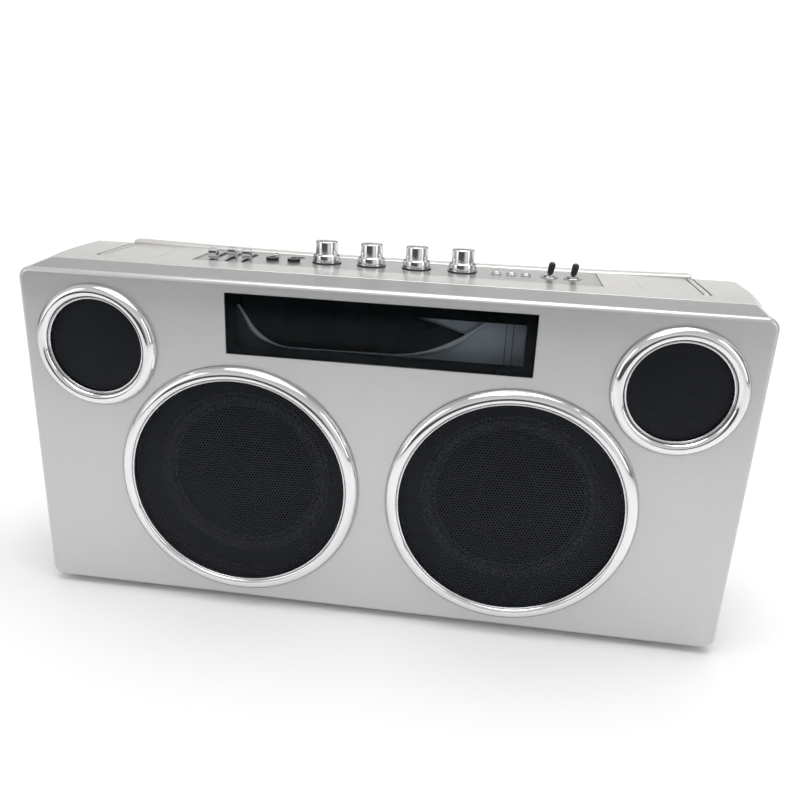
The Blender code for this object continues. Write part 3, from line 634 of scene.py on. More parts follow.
def make_cabinet_shell():
    shell = lofted("cabinet_shell_finish", shell_sections(), DECK_SILVER)
    above = DECK_Z + PAST
    behind = REAR_Y + PAST
    inner = HALF_WIDTH - SHELL_WALL
    plate_low, plate_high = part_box("control_plate")
    deck_back = plate_high.y + GAP
    slot_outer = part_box("pivot_pin_right")[1].x - 0.0035
    cutters = []

    def take(name, low, high):
        cutters.append(block(name, low, high, DECK_SILVER))

    take(
        "hollow",
        (-inner, SHELL_LOW.y - PAST, up(SHELL_WALL)),
        (inner, deck_back - SHELL_WALL, DECK_Z - SHELL_WALL),
    )
    take(
        "hollow_rear",
        (-inner + 0.002, SHELL_LOW.y - PAST - 0.002, up(0.006)),
        (inner - 0.002, REAR_Y - 0.0055, REBATE_Z - SHELL_WALL),
    )
    take("rebate", (-slot_outer, deck_back, REBATE_Z), (slot_outer, behind, above))
    low, high = plate_low, plate_high
    take("plate_recess", (low.x - GAP, low.y - GAP, low.z - GAP), (high.x + GAP, deck_back + 0.005, above))
    take(
        "controls",
        (low.x + 0.007, low.y + 0.005, DECK_Z - 0.02),
        (high.x - 0.007, deck_back - 0.0055, above),
    )
    low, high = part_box("back_panel")
    take(
        "back_opening",
        (low.x + 0.008, REAR_Y - PAST, low.z + 0.008),
        (high.x - 0.008, behind, high.z - 0.008),
    )
    take("back_recess", (low.x - GAP, low.y - GAP, low.z - GAP), (high.x + GAP, behind, high.z + GAP))
    crease_y = back(0.0600)
    for _, sign in SIDES:
        x_low, x_high = sorted((sign * 0.245, sign * (SHELL_HIGH.x + 0.001)))
        take("crease", (x_low, crease_y - 0.0002, DECK_Z - 0.00025), (x_high, crease_y + 0.0002, above))
    for side, sign in SIDES:
        low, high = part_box(f"hinge_cover_{side}")
        outer = max(abs(low.x), abs(high.x))
        x_low, x_high = sorted((sign * (outer - 0.001), sign * slot_outer))
        pivot = middle(f"pivot_pin_{side}")
        take(f"arm_slot_{side}", (x_low, pivot.y - 0.008, DECK_Z - 0.013), (x_high, deck_back + 0.005, above))
        opening = cover_shape(f"opening_{side}", side, GAP, low.z - GAP, above, deck_back + 0.006, SILVER)
        cutters.append(opening)
    cut(shell, *cutters)
    smooth(shell, 30)
    fixed(shell, "silver_paint", "cabinet_shell")


def make_hinge_covers():
    wall = COVER_WALL
    for side, sign in SIDES:
        node = f"hinge_cover_{side}"
        low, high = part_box(node)
        cover = cover_shape(f"{node}_finish", side, 0.0, low.z, high.z, high.y, DECK_SILVER, 0.0008)
        hollow = box_mesh(
            (low.x + wall, low.y + wall, low.z - 0.002),
            (high.x - wall, high.y - 0.003, high.z - 0.0022),
        )
        pivot = middle(f"pivot_pin_{side}")
        pivot.x = sign * max(abs(low.x), abs(high.x))
        cut(
            cover,
            from_bmesh("cover_hollow", hollow, DECK_SILVER),
            cylinder("cover_bore", PIN_RADIUS + GAP, -0.006, 0.006, pivot, DECK_SILVER, "X"),
        )
        smooth(cover, 30)
        fixed(cover, "silver_paint", node)


# ---------------- speakers
# Profiles here are (radius, distance in front of the face).


def ring_profile(inner, lip, valley, crest, outer, proud, floor):
    """A broad crowned bezel with a narrow lip inside it: section points, closed."""
    foot = 0.0010
    points = arc((crest, foot), (outer - crest, proud - foot), 90, 0, 18)
    points += [(outer, GAP)]
    points += [(inner + 0.0020, GAP), (inner + 0.0020, floor), (inner, floor)]
    lip_height = valley[1] + 0.0005
    points += [(inner, lip_height - 0.0006)]
    points += arc((lip, lip_height - 0.0006), (lip - inner, 0.0006), 180, 0, 8)
    points += [valley]
    points += arc((crest, valley[1] - 0.0004), (crest - valley[0], proud - valley[1] + 0.0004), 168, 90, 12)
    return points


def perforated(name, radius, pitch, hole, rim_height, dome, thick, finish):
    """A domed disc of staggered hexagonal holes. Its axis is -Y."""
    verts = []
    index = {}
    faces = []

    def vertex(x, z):
        length = math.hypot(x, z)
        if length > radius:
            x, z = x * radius / length, z * radius / length
        key = (round(x * 1e7), round(z * 1e7))
        if key not in index:
            index[key] = len(verts)
            share = min(1.0, math.hypot(x, z) / radius)
            verts.append((x, -(rim_height + dome * (1 - share * share)), z))
        return index[key]

    row_step = pitch * math.sqrt(3) / 2
    rows = int(radius / row_step) + 2
    corner = pitch / math.sqrt(3)
    turns = [math.radians(30 + 60 * k) for k in range(6)]
    for row in range(-rows, rows + 1):
        z = row * row_step
        shift = pitch / 2 if row % 2 else 0.0
        for column in range(-rows - 1, rows + 2):
            x = column * pitch + shift
            reach = math.hypot(x, z)
            if reach > radius + 0.6 * pitch:
                continue
            outer = [vertex(x + corner * math.cos(t), z + corner * math.sin(t)) for t in turns]
            if reach + hole * 0.6 > radius:
                if len(set(outer)) > 2:
                    faces.append(list(dict.fromkeys(outer)))
                continue
            inner = [vertex(x + hole / 2 * math.cos(t), z + hole / 2 * math.sin(t)) for t in turns]
            for k in range(6):
                n = (k + 1) % 6
                loop = list(dict.fromkeys((outer[k], outer[n], inner[n], inner[k])))
                if len(loop) > 2:
                    faces.append(loop)
    mesh = bpy.data.meshes.new(name)
    mesh.from_pydata(verts, [], faces)
    mesh.validate()
    obj = new_object(name, mesh, finish)
    step = obj.modifiers.new("Thickness", "SOLIDIFY")
    step.thickness = thick
    step.offset = -1.0
    settle(obj)
    obj.data.shade_flat()
    return obj


SURROUND = (
    [(0.0762, -0.0172), (0.0762, -0.0160)]
    + arc((0.0695, -0.0160), (0.0045, 0.0036), 0, 180, 18)
    + [(0.0629, -0.0166), (0.0629, -0.0176), (0.0762, -0.0172)]
)


def cone_profile():
    """Dust cap, flared paper cone and a closed rear side."""
    cap = arc((0, -0.0420), (0.0175, 0.0105), 90, 8, 12)
    flare = []
    for i in range(15):
        share = i / 14
        flare.append((0.0176 + 0.0448 * share, -0.0405 + 0.0217 * share**1.25))
    rear = [(0.0625, -0.0199), (0.0135, -0.0437), (0.0135, -0.0565), (0, -0.0565)]
    return cap + flare + rear


def make_speakers():
    grilles = {kind: perforated(f"{kind}_mesh", *sizes["mesh"], MESH) for kind, sizes in SPEAKERS.items()}
    for side, _ in SIDES:
        for kind, sizes in SPEAKERS.items():
            at = on_face(f"{kind}_ring_{side}")
            profile = ring_profile(*sizes["ring"])
            ring = turned(f"{kind}_ring_{side}_finish", profile + profile[:1], at, CHROME, RING_STEPS, True)
            fixed(ring, "chrome", f"{kind}_ring_{side}")
            grille = new_object(f"{kind}_grille_{side}_finish", grilles[kind].data, MESH)
            grille.location = at
            fixed(grille, "black_mesh", f"{kind}_grille_{side}")
        at = on_face(f"woofer_ring_{side}")
        node = f"woofer_surround_{side}"
        # The surround's mid-grey colour is a painted highlight behind the grille.
        surround = turned(f"{node}_finish", SURROUND, at, SURROUND_PAINTED_HIGHLIGHT, RING_STEPS, True)
        fixed(surround, "rubber", node)
        node = f"woofer_cone_{side}"
        cone = turned(f"{node}_finish", cone_profile(), at, PAPER, RING_STEPS, True)
        place(cone, node, "cone_paper", node)
    discard(*grilles.values())


# ---------------- display


SCREEN_LOW = (-0.1158, 0.2380)
SCREEN_HIGH = (0.1158, 0.2712)
SCREEN_SPLIT_X = -0.02
DIAL_DEPTH = 0.0130
DIAL_NOTCH = (0.0724, 0.2566)


def dial_edge():
    """The lower edge of the black dial plate: a tight curve, a flat and a wide curve, from left to right."""
    left = [(-0.1185, 0.2722)] + arc((-0.0718, 0.2712), (0.0405, 0.0355), 213, 270, 14)
    right = arc((0.0071, 0.3402), (0.1036, 0.1036), 270, 308, 16) + [(0.0895, 0.2734)]
    return left + right


def make_display():
    low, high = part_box("display_window")
    window = block("display_window_finish", low, high, GLASS, 0.0004)
    fixed(window, "smoked_window", "display_window")
    left, bottom = SCREEN_LOW[0], up(SCREEN_LOW[1])
    right, top = SCREEN_HIGH[0], up(SCREEN_HIGH[1])
    rim_loop = rectangle(low.xz, high.xz)
    opening = rectangle((left, bottom), (right, top), 0.0008)
    border = outline("display_border", [rim_loop, opening], back(0.0023), back(0.0033), GLOSS, "XZ")
    opening = rectangle((left - 0.005, low.z + 0.0015), (right + 0.003, top + 0.004), 0.0008)
    walls = outline("display_walls", [rim_loop, opening], back(0.0034), back(0.027), GLOSS, "XZ")
    fixed(join("display_housing_finish", border, walls), "black_plastic", "display_housing")
    # The left backing takes the darker grey as painted shade; both are the same plastic at the same depth.
    fields = (("left", low.x, SCREEN_SPLIT_X, SHADED_BACKING_GREY), ("right", SCREEN_SPLIT_X, high.x, SCREEN_GREY))
    for name, field_left, field_right, finish in fields:
        field_low = (field_left + 0.002, back(0.0160), low.z + 0.002)
        field_high = (field_right - 0.002, back(0.0172), high.z - 0.002)
        fixed(block(f"display_backing_{name}", field_low, field_high, finish), "grey_plastic")
    edge = [(x, up(z)) for x, z in dial_edge()]
    notch_x, notch_z = DIAL_NOTCH
    upper = [(notch_x, up(notch_z)), (0.0270, up(0.2690)), (0.0270, up(0.2752)), (-0.1185, up(0.2752))]
    dial_loop = [point for point in edge if point[0] < notch_x] + upper
    dial_back = back(DIAL_DEPTH + 0.0014)
    dial = outline("display_dial", [dial_loop], back(DIAL_DEPTH), dial_back, GLOSS, "XZ", 0.0002)
    fixed(dial, "black_plastic")
    for number, x in enumerate((0.1005, 0.1062), 1):
        wire_low = (x, back(0.0138), low.z + 0.003)
        wire_high = (x + 0.0005, back(0.0143), high.z - 0.004)
        wire = block(f"display_wire_{number}", wire_low, wire_high, SATIN_BLACK, 0.0001)
        fixed(wire, "black_plastic")
    make_crescent(edge)


def make_crescent(edge):
    """The pale trim along the dial's lower edge, widest on its two curves."""
    section = 10
    bm = bmesh.new()
    rings = []
    for i, (x, z) in enumerate(edge):
        before, after = edge[max(i - 1, 0)], edge[min(i + 1, len(edge) - 1)]
        run = Vector((after[0] - before[0], after[1] - before[1])).normalized()
        across = Vector((-run.y, run.x))
        left = math.exp(-(((x + 0.1020) / 0.013) ** 2))
        right = math.exp(-(((x - 0.0560) / 0.024) ** 2))
        width = 0.0009 + 0.0042 * left + 0.0040 * right
        ring = []
        for k in range(section):
            turn = math.pi * k / (section - 1)
            reach = width * (1 - math.cos(turn)) / 2 - width * 0.75
            depth = back(DIAL_DEPTH + 0.0012) - 0.0022 * math.sin(turn)
            ring.append(bm.verts.new((x + across.x * reach, depth, z + across.y * reach)))
        rings.append(ring)
    for one, two in zip(rings, rings[1:]):
        for k in range(section - 1):
            bm.faces.new((one[k], one[k + 1], two[k + 1], two[k]))
        bm.faces.new((one[0], two[0], two[-1], one[-1]))
    bmesh.ops.holes_fill(bm, edges=[e for e in bm.edges if e.is_boundary])
    crescent = from_bmesh("display_crescent", bm, GREY)
    smooth(crescent, 50)
    fixed(crescent, "grey_plastic", "display_reflector")


# ---------------- controls
# Profiles here are (radius, height above the plate).

KNOB_BODY = (
    [(0, 0.0197), (0.0084, 0.0197)]
    + arc((0.0086, 0.0184), (0.0013, 0.0014), 90, 0, 8)
    + [(0.0101, 0.0094)]
    + arc((0.0111, 0.0086), (0.0010, 0.0008), 180, 250, 4)
    + arc((0.0109, 0.0066), (0.0010, 0.0012), 75, 0, 6)
    + [(0.0122, 0.0012), (0.0120, 0.0009), (0, 0.0009)]
)
KNOB_TOP = [(0, 0.0205), (0.0040, 0.02035), (0.0070, 0.0200), (0.0083, 0.01965), (0, 0.0196)]
KNOB_FLANGE = [(0, 0.0009), (0.0130, 0.0009), (0.0132, 0.0007), (0.0132, 0.0005), (0, 0.0005)]
JACK_SLEEVE = [(0.0041, 0.0030), (0.0041, -0.024), (0.00325, -0.024), (0.00325, 0.0030), (0.0041, 0.0030)]
AUX_SLEEVE = [(0.0018, 0.0018), (0.0034, 0.0018), (0.0038, 0.0012), (0.0038, GAP), (0.0029, GAP)]
AUX_SLEEVE += [(0.0029, -0.0150), (0.0018, -0.0150), (0.0018, 0.0018)]
BUTTON = (
    [(0, 0.0026)]
    + arc((0.0019, 0.0016), (0.0012, 0.0009), 90, 0, 6)
    + [(0.0032, -0.0015), (0.0044, -0.0016), (0.0044, -0.0026), (0.0015, -0.0026), (0.0015, -0.0050)]
    + [(0, -0.0050)]
)
BUTTON_RING = arc((0.0041, 0.0005), (0.0005, 0.0006), 0, 180, 8)
BUTTON_RING += [(0.0036, 0.0), (0.0046, 0.0), (0.0046, 0.0005)]
WASHER = [(0.0036, 0.0007), (0.0072, 0.0007), (0.0074, 0.0005), (0.0074, GAP), (0.0036, GAP)]
WASHER += [(0.0036, 0.0007)]
BUSH = (
    [(0.0022, 0.0010), (0.0026, 0.0020), (0.0031, 0.0020)]
    + [(0.0033 if turn % 2 else 0.0031, 0.0019 - 0.00012 * turn) for turn in range(6)]
    + [(0.0033, -0.0060), (0.0022, -0.0060), (0.0022, 0.0010)]
)
LEVER = (
    [(0, 0.0122)]
    + arc((0.0, 0.0094), (0.0030, 0.0028), 84, 0, 8)
    + [(0.0030, 0.0080), (0.0026, 0.0024), (0.0021, 0.0014), (0.0013, 0.0014), (0.0013, 0.0006)]
    + [(0.0017, -0.0002), (0.0012, -0.0014), (0, -0.0018)]
)
TOGGLE_LEAN = 9.0
PLATE_HOLES = (("knob", 0.0046), ("mic_jack", 0.0047), ("button", 0.0036), ("toggle_switch", 0.0037))
SLOT_FRONT_Y = back(0.0785)
SLOT_BACK_Y = back(0.1195)


def slider_slot(x):
    """The outline of one slider's slot in the plate."""
    return rectangle((x - 0.00125, SLOT_FRONT_Y), (x + 0.00125, SLOT_BACK_Y), 0.0012)


def make_control_plate():
    low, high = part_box("control_plate")
    loops = [rectangle(low.xy, high.xy)]
    for node, radius in PLATE_HOLES:
        for number in range(1, 5):
            name = f"{node}_{number}"
            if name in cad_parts:
                loops.append(circle(middle(name).xy, radius))
    loops.append(circle(middle("aux_jack").xy, 0.0032))
    usb_low, usb_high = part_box("usb_port")
    loops.append(rectangle((usb_low.x - GAP, usb_low.y - GAP), (usb_high.x + GAP, usb_high.y + GAP)))
    for number in (1, 2, 3):
        loops.append(slider_slot(middle(f"slider_cap_{number}").x))
    plate = outline("control_plate_finish", loops, low.z, high.z, PLATE)
    fixed(plate, "satin_aluminium", "control_plate")


def make_knobs():
    for number in range(1, 5):
        node = f"knob_{number}"
        at = on_plate(node)
        place(turned(f"{node}_body", KNOB_BODY, at, KNOB_CHROME, KNOB_STEPS), node, "chrome", node)
        place(turned(f"{node}_top", KNOB_TOP, at, SPUN, KNOB_STEPS), node, "chrome")
        place(turned(f"{node}_flange", KNOB_FLANGE, at, SATIN_BLACK, KNOB_STEPS), node, "black_plastic")


def slider_cap_loop(middle_y, half, base, tall):
    """A slider cap's outline from the side: upright ends and a crown with ribs across it."""
    shoulder = base + tall * 0.45
    loop = [(middle_y - half, base), (middle_y - half, shoulder)]
    ribs = 7
    for i in range(ribs):
        for share, lift in ((0.0, 0.0), (0.25, 0.00055), (0.6, 0.00055), (0.85, 0.0)):
            across = -1 + 2 * (i + share) / ribs
            crown = tall * (0.60 + 0.35 * math.sqrt(max(0.0, 1 - (across * 0.92) ** 2)))
            loop.append((middle_y + half * 0.985 * across, base + min(crown + lift, tall)))
    return loop + [(middle_y + half, shoulder), (middle_y + half, base)]


def make_sliders():
    base = PLATE_Z + 0.0006
    for number in (1, 2, 3):
        node = f"slider_cap_{number}"
        body = f"slider_{number}"
        low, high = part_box(node)
        x, y = middle(node).xy
        loop = slider_cap_loop(y, (high.y - low.y) / 2, base, high.z - base)
        cap = outline(f"{node}_finish", [loop], low.x, high.x, KNOB_CHROME, "YZ", 0.0003)
        place(cap, body, "chrome", node)
        stem_low = (x - 0.0006, y - 0.0018, low.z)
        stem_high = (x + 0.0006, y + 0.0018, base + 0.001)
        place(block(f"slider_stem_{number}", stem_low, stem_high, STEEL, 0.0002), body, "bright_steel")
        edge = rectangle((x - 0.0022, SLOT_FRONT_Y - 0.0007), (x + 0.0022, SLOT_BACK_Y + 0.0007), 0.0021)
        loops = [edge, slider_slot(x)]
        trim = outline(f"slider_trim_{number}", loops, PLATE_Z, PLATE_Z + 0.0003, SATIN_BLACK)
        fixed(trim, "black_plastic")


def knurled(name, radius, low, high, bore, teeth, centre, finish):
    """A round nut with a toothed edge."""
    loop = []
    for i in range(teeth):
        for share, reach in ((0.0, 0.96), (0.3, 1.0), (0.7, 1.0)):
            turn = math.tau * (i + share) / teeth
            out = radius * reach
            loop.append((centre[0] + out * math.cos(turn), centre[1] + out * math.sin(turn)))
    return outline(name, [loop, circle(centre, bore)], low, high, finish, "XY", 0.0002)


def make_sockets():
    for number in (1, 2):
        node = f"mic_jack_{number}"
        at = on_plate(node)
        low_z, high_z = PLATE_Z + GAP, PLATE_Z + 0.0026
        nut = knurled(f"{node}_nut", 0.00575, low_z, high_z, 0.0042, 24, at.xy, SATIN_BLACK)
        fixed(nut, "black_plastic", node)
        fixed(turned(f"{node}_sleeve", JACK_SLEEVE, at, KNOB_CHROME), "chrome")
    sleeve = turned("aux_jack_sleeve", AUX_SLEEVE, on_plate("aux_jack"), KNOB_CHROME)
    fixed(sleeve, "chrome", "aux_jack")
    low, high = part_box("usb_port")
    wall = 0.0005
    outer = rectangle(low.xy, high.xy, 0.0004)
    inner = rectangle((low.x + wall, low.y + wall), (high.x - wall, high.y - wall), 0.0003)
    shell = outline("usb_shell", [outer, inner], low.z, high.z, STEEL)
    tongue_low = (low.x + 0.0014, middle("usb_port").y + 0.0002, low.z)
    tongue_high = (high.x - 0.0014, high.y - 0.0011, high.z - 0.0014)
    tongue = block("usb_tongue", tongue_low, tongue_high, SATIN_BLACK, 0.0002)
    fixed(join("usb_port_finish", shell, tongue), "bright_steel", "usb_port")


def make_buttons():
    for number in (1, 2, 3):
        node = f"button_{number}"
        at = on_plate(node)
        place(turned(f"{node}_finish", BUTTON, at, KNOB_CHROME), node, "chrome", node)
        fixed(turned(f"button_ring_{number}", BUTTON_RING, at, STEEL), "bright_steel")


def make_toggles():
    for number in (1, 2):
        node = f"toggle_switch_{number}"
        low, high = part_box(node)
        at = on_plate(node)
        washer = turned(f"washer_{number}", WASHER, at, KNOB_CHROME)
        loops = [circle(at.xy, 0.0051, 6), circle(at.xy, 0.0034)]
        nut = outline(f"nut_{number}", loops, PLATE_Z + 0.0007, PLATE_Z + 0.0017, KNOB_CHROME, "XY", 0.0002)
        bush = turned(f"bush_{number}", BUSH, at, KNOB_CHROME)
        body_low = (low.x, at.y - 0.0040, low.z)
        body_high = (high.x, at.y + 0.0040, PLATE_Z - 0.0015)
        body = block(f"body_{number}", body_low, body_high, SATIN_BLACK, 0.0003)
        fixed(join(f"{node}_finish", washer, nut, bush, body), "chrome", node)
        node = f"toggle_lever_{number}"
        lever = turned(f"{node}_finish", LEVER, (at.x, at.y, PLATE_Z + 0.0015), SATIN_BLACK)
        lever.rotation_euler = (0, math.radians(TOGGLE_LEAN), 0)
        place(lever, f"toggle_{number}", "black_plastic", node)


# ---------------- handle


def make_handle():
    low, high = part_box("handle_grip")
    rise = 0.0035
    bm = box_mesh(low, (high.x, high.y, high.z - rise))
    bevel(bm, along(bm, 0), 0.0035, 8)
    bevel(bm, rim(bm, 0, -1), 0.0025, 5)
    bevel(bm, rim(bm, 0, 1), 0.0025, 5)
    stations = 40
    for i in range(1, stations):
        x = high.x * (2 * i / stations - 1)
        everything = bm.verts[:] + bm.edges[:] + bm.faces[:]
        bmesh.ops.bisect_plane(bm, geom=everything, plane_co=(x, 0, 0), plane_no=(1, 0, 0))
    for vertex in bm.verts:
        vertex.co.z += rise * (vertex.co.x / high.x) ** 2
    grip = from_bmesh("handle_grip_finish", bm, DECK_SILVER)
    smooth(grip)
    place(grip, "handle", "silver_paint", "handle_grip")
    for side, _ in SIDES:
        low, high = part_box(f"handle_arm_{side}")
        radius = (high.z - low.z) / 2
        pivot = middle(f"pivot_pin_{side}")
        shape = arc(pivot.yz, (radius, radius), 90, 270, 24) + [(high.y, low.z), (high.y, high.z)]
        hole = circle(pivot.yz, PIN_RADIUS + 0.0001)
        arm = outline(f"handle_arm_{side}_finish", [shape, hole], low.x, high.x, DECK_SILVER, "YZ", 0.0006)
        place(arm, "handle", "silver_paint", f"handle_arm_{side}")
        pin_low, pin_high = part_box(f"pivot_pin_{side}")
        half = (pin_high.x - pin_low.x) / 2
        pin = cylinder(f"pivot_pin_{side}_finish", PIN_RADIUS, -half, half, pivot, STEEL, "X")
        fixed(pin, "bright_steel", f"pivot_pin_{side}")


# ---------------- back and underside


INLET = [(0.0052, 0.0012), (0.0052, -0.013), (0.0, -0.013), (0.0, -0.0010), (0.0010, -0.0012)]
INLET += [(0.0010, -0.0100), (0.0031, -0.0100), (0.0031, 0.0012), (0.0052, 0.0012)]
DOOR_LOW = (-0.228, up(0.024))
DOOR_HIGH = (-0.100, up(0.110))
DOOR_RIBS = 6
SLITS = 9
SLITS_Z = up(0.170)
SCREW_PLACES = (-0.262, -0.0875, 0.0875, 0.262)
SCREW_INSET = 0.012


def make_back():
    low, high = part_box("back_panel")
    face = high.y
    inlet = middle("dc_inlet")
    loops = [rectangle(low.xz, high.xz, 0.002), circle(inlet.xz, 0.0056)]
    for i in range(SLITS):
        z = SLITS_Z + 0.0065 * i
        for x_low, x_high in ((-0.060, -0.004), (0.004, 0.060)):
            loops.append(rectangle((x_low, z), (x_high, z + 0.0025), 0.0012))
    panel = outline("back_panel_finish", loops, low.y, face, BLACK, "XZ", 0.0004)
    fixed(panel, "black_plastic", "back_panel")
    loops = [rectangle(DOOR_LOW, DOOR_HIGH, 0.003)]
    door = outline("battery_door", loops, face, face + 0.0012, BLACK, "XZ", 0.0005)
    fixed(door, "black_plastic")
    x = (DOOR_LOW[0] + DOOR_HIGH[0]) / 2
    for i in range(DOOR_RIBS):
        z = DOOR_HIGH[1] - 0.010 - 0.003 * i
        rib_low = (x - 0.014, face + 0.0011, z)
        rib_high = (x + 0.014, face + 0.0019, z + 0.0012)
        fixed(block(f"door_rib_{i + 1}", rib_low, rib_high, BLACK, 0.0003), "black_plastic")
    loops = [rectangle((0.060, up(0.086)), (0.170, up(0.136)), 0.003)]
    plate = outline("rating_plate", loops, face, face + 0.0004, PLATE, "XZ", 0.0001)
    fixed(plate, "satin_aluminium")
    for i, x in enumerate(SCREW_PLACES):
        for j, z in enumerate((low.z + SCREW_INSET, high.z - SCREW_INSET)):
            screw(f"back_screw_{2 * i + j + 1}", (x, face, z))
    socket = turned("dc_inlet_finish", INLET, (0, 0, 0), SATIN_BLACK)
    socket.data.transform(TO_REAR)
    socket.location = (inlet.x, face, inlet.z)
    fixed(socket, "black_plastic", "dc_inlet")


def screw(name, at):
    """A pan-head screw with a cross recess, its head facing +Y."""
    crown = arc((0.0012, 0.0), (0.0022, 0.0015), 70, 0, 8)
    profile = [(0, 0.0016)] + crown + [(0.0034, -0.0004), (0, -0.0004)]
    head = turned(name, profile, (0, 0, 0), DARK_STEEL, 48)
    arms = [
        block("arm_a", (-0.0016, -0.0003, 0.0007), (0.0016, 0.0003, 0.003), DARK_STEEL),
        block("arm_b", (-0.0003, -0.0016, 0.0007), (0.0003, 0.0016, 0.003), DARK_STEEL),
    ]
    cut(head, *arms)
    smooth(head)
    head.data.transform(TO_REAR)
    head.location = at
    fixed(head, "basket_steel")


def make_feet():
    for number in range(1, 5):
        low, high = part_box(f"foot_{number}")
        at = ((low.x + high.x) / 2, (low.y + high.y) / 2, 0)
        top = high.z
        profile = [(0, top), (0.0110, top), (0.0108, 0.0030)]
        profile += arc((0.0088, 0.0014), (0.0014, 0.0014), 0, -90, 6)
        profile += [(0.0050, 0.0), (0.0046, 0.0016), (0, 0.0016)]
        foot = turned(f"foot_{number}_finish", profile, at, RUBBER)
        fixed(foot, "rubber", f"foot_{number}")


# ---------------- the CAD nodes that still show

CAD_FINISHES = (
    (BOARD, ("display_board", "knob_board", "button_board", "amplifier_board")),
    (SATIN_BLACK, ("slider_board", "battery_pack")),
    (DARK_STEEL, [f"{part}_{side}" for part in ("woofer_basket", "tweeter_driver") for side, _ in SIDES]),
)


def finish_cad_nodes():
    for finish, nodes in CAD_FINISHES:
        for node in nodes:
            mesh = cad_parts[node].data
            mesh.materials.clear()
            mesh.materials.append(finish)


# ---------------- studio


def make_floor():
    """A pale paper sweep that starts in front of the camera and curves up behind the object."""
    half = 3.2
    profile = [(-1.15, 0.0), (0.0, 0.0)] + arc((2.4, 0.8), (0.8, 0.8), -90, 0, 16) + [(3.2, 1.2)]
    points = [(x, y, z) for y, z in profile for x in (-half, half)]
    faces = [(i, i + 1, i + 3, i + 2) for i in range(0, len(points) - 2, 2)]
    mesh = bpy.data.meshes.new("floor")
    mesh.from_pydata(points, [], faces)
    paper = Finish("studio_paper", (0.94, 0.94, 0.94), 0.9, 0.0, Specular_IOR_Level=0.2)
    paper.tint(paper.noise(3.0, 2.0), 0.985, 1.0)
    paper.bump(paper.noise(900.0, 2.0), 0.00002, 0.3)
    floor = new_object("floor", mesh, paper.material)
    smooth(floor, 30, False)


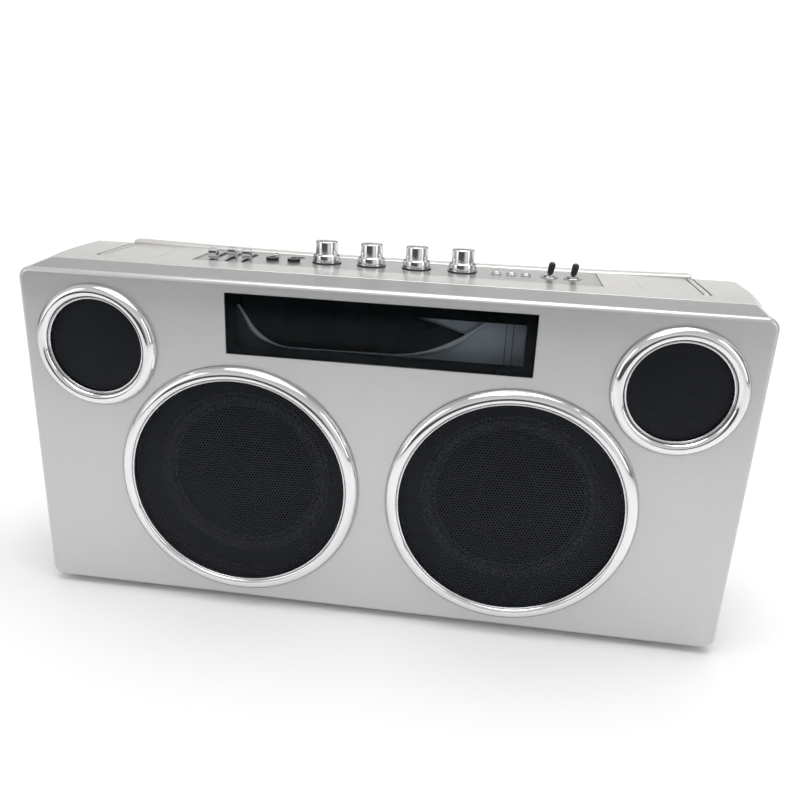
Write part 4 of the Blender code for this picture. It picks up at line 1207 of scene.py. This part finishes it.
def make_world():
    """A plain pale room, dimmer low in front, low at both sides and along the top of the wall behind."""
    world = bpy.data.worlds.new("studio")
    world.use_nodes = True
    bpy.context.scene.world = world
    nodes, links = world.node_tree.nodes, world.node_tree.links
    turn = nodes.new("ShaderNodeMapping")
    set_inputs(turn, Rotation=(0, 0, math.radians(18)))
    links.new(nodes.new("ShaderNodeTexCoord").outputs["Generated"], turn.inputs["Vector"])
    parts = nodes.new("ShaderNodeSeparateXYZ")
    links.new(turn.outputs["Vector"], parts.inputs["Vector"])

    def ramp(axis, *stops):
        """Brightness at places from -1 to 1 of one component of the direction."""
        span = nodes.new("ShaderNodeMapRange")
        set_inputs(span, From_Min=-1.0)
        links.new(parts.outputs[axis], span.inputs["Value"])
        made = nodes.new("ShaderNodeValToRGB")
        elements = made.color_ramp.elements
        while len(elements) < len(stops):
            elements.new(0.5)
        for element, (at, brightness) in zip(elements, stops):
            element.position = (at + 1) / 2
            element.color = (brightness, brightness, brightness, 1)
        links.new(span.outputs["Result"], made.inputs["Fac"])
        return made.outputs["Color"]

    def mix(kind, one, two):
        made = nodes.new("ShaderNodeMix")
        made.data_type = "RGBA"
        made.blend_type = kind
        set_inputs(made, Factor=1.0)
        links.new(one, made.inputs["A"])
        links.new(two, made.inputs["B"])
        return made.outputs["Result"]

    walls = ramp("Z", (0.20, 0.80), (0.60, 0.60))
    opening = mix(
        "LIGHTEN",
        ramp("Z", (-0.36, 1.0), (-0.22, 0.10), (0.10, 0.10), (0.24, 1.0)),
        ramp("Y", (-0.90, 0.10), (-0.66, 1.0)),
    )
    line = mix(
        "LIGHTEN",
        ramp("Z", (0.20, 1.0), (0.27, 0.22), (0.42, 0.22), (0.60, 1.0)),
        ramp("Y", (-0.2, 1.0), (0.3, 0.22)),
    )
    sides = mix(
        "LIGHTEN",
        ramp("Z", (-0.30, 1.0), (-0.16, 0.30), (0.16, 0.30), (0.34, 1.0)),
        ramp("X", (-0.96, 0.30), (-0.86, 1.0), (0.86, 1.0), (0.96, 0.30)),
    )
    shade = mix("MULTIPLY", mix("MULTIPLY", opening, sides), line)
    links.new(mix("MULTIPLY", walls, shade), nodes["Background"].inputs["Color"])


def light(name, at, towards, size, power, colour=(1, 1, 1)):
    data = bpy.data.lights.new(name, "AREA")
    data.shape = "RECTANGLE"
    data.size, data.size_y = size
    data.energy = power
    data.color = colour
    obj = linked(name, data)
    obj.location = at
    obj.rotation_euler = (Vector(towards) - Vector(at)).to_track_quat("-Z", "Y").to_euler()


def make_lights():
    light("top_softbox", (0.1, -0.1, 1.5), (0, 0, 0), (1.5, 1.0), 15)
    light("left_softbox", (-1.3, -0.9, 0.7), (0, 0, 0.2), (0.5, 1.2), 2)
    light("right_softbox", (1.5, -0.8, 0.7), (0, 0, 0.2), (0.5, 1.2), 3, (1.0, 0.93, 0.91))
    light("backdrop_light", (0.4, 1.5, 2.0), (0.4, 3.0, 0.2), (8.0, 1.0), 70)


CAMERA_TURN = (-19.6169, -2.5717, 6.8224)
CAMERA_AT = (0.09077, back(-0.58712), up(0.41338))


def make_camera():
    """Roll, then pitch, then yaw, from a camera that looks along +Y."""
    pitch, roll, yaw = (math.radians(degrees) for degrees in CAMERA_TURN)
    turn = Matrix.Rotation(yaw, 3, "Z") @ Matrix.Rotation(pitch, 3, "X") @ Matrix.Rotation(roll, 3, "Y")
    data = bpy.data.cameras.new("photo_view")
    data.lens = 34.95
    data.sensor_width = 36.0
    data.clip_start = 0.01
    obj = linked("photo_view", data)
    obj.matrix_world = (turn @ Matrix.Rotation(math.pi / 2, 3, "X")).to_4x4()
    obj.location = CAMERA_AT
    bpy.context.scene.camera = obj


make_camera()
make_front_panel()
make_cabinet_shell()
make_hinge_covers()
make_speakers()
make_display()
make_control_plate()
make_knobs()
make_sliders()
make_sockets()
make_buttons()
make_toggles()
make_handle()
make_back()
make_feet()
finish_cad_nodes()
make_floor()
make_world()
make_lights()
bpy.context.scene.view_settings.view_transform = "Standard"
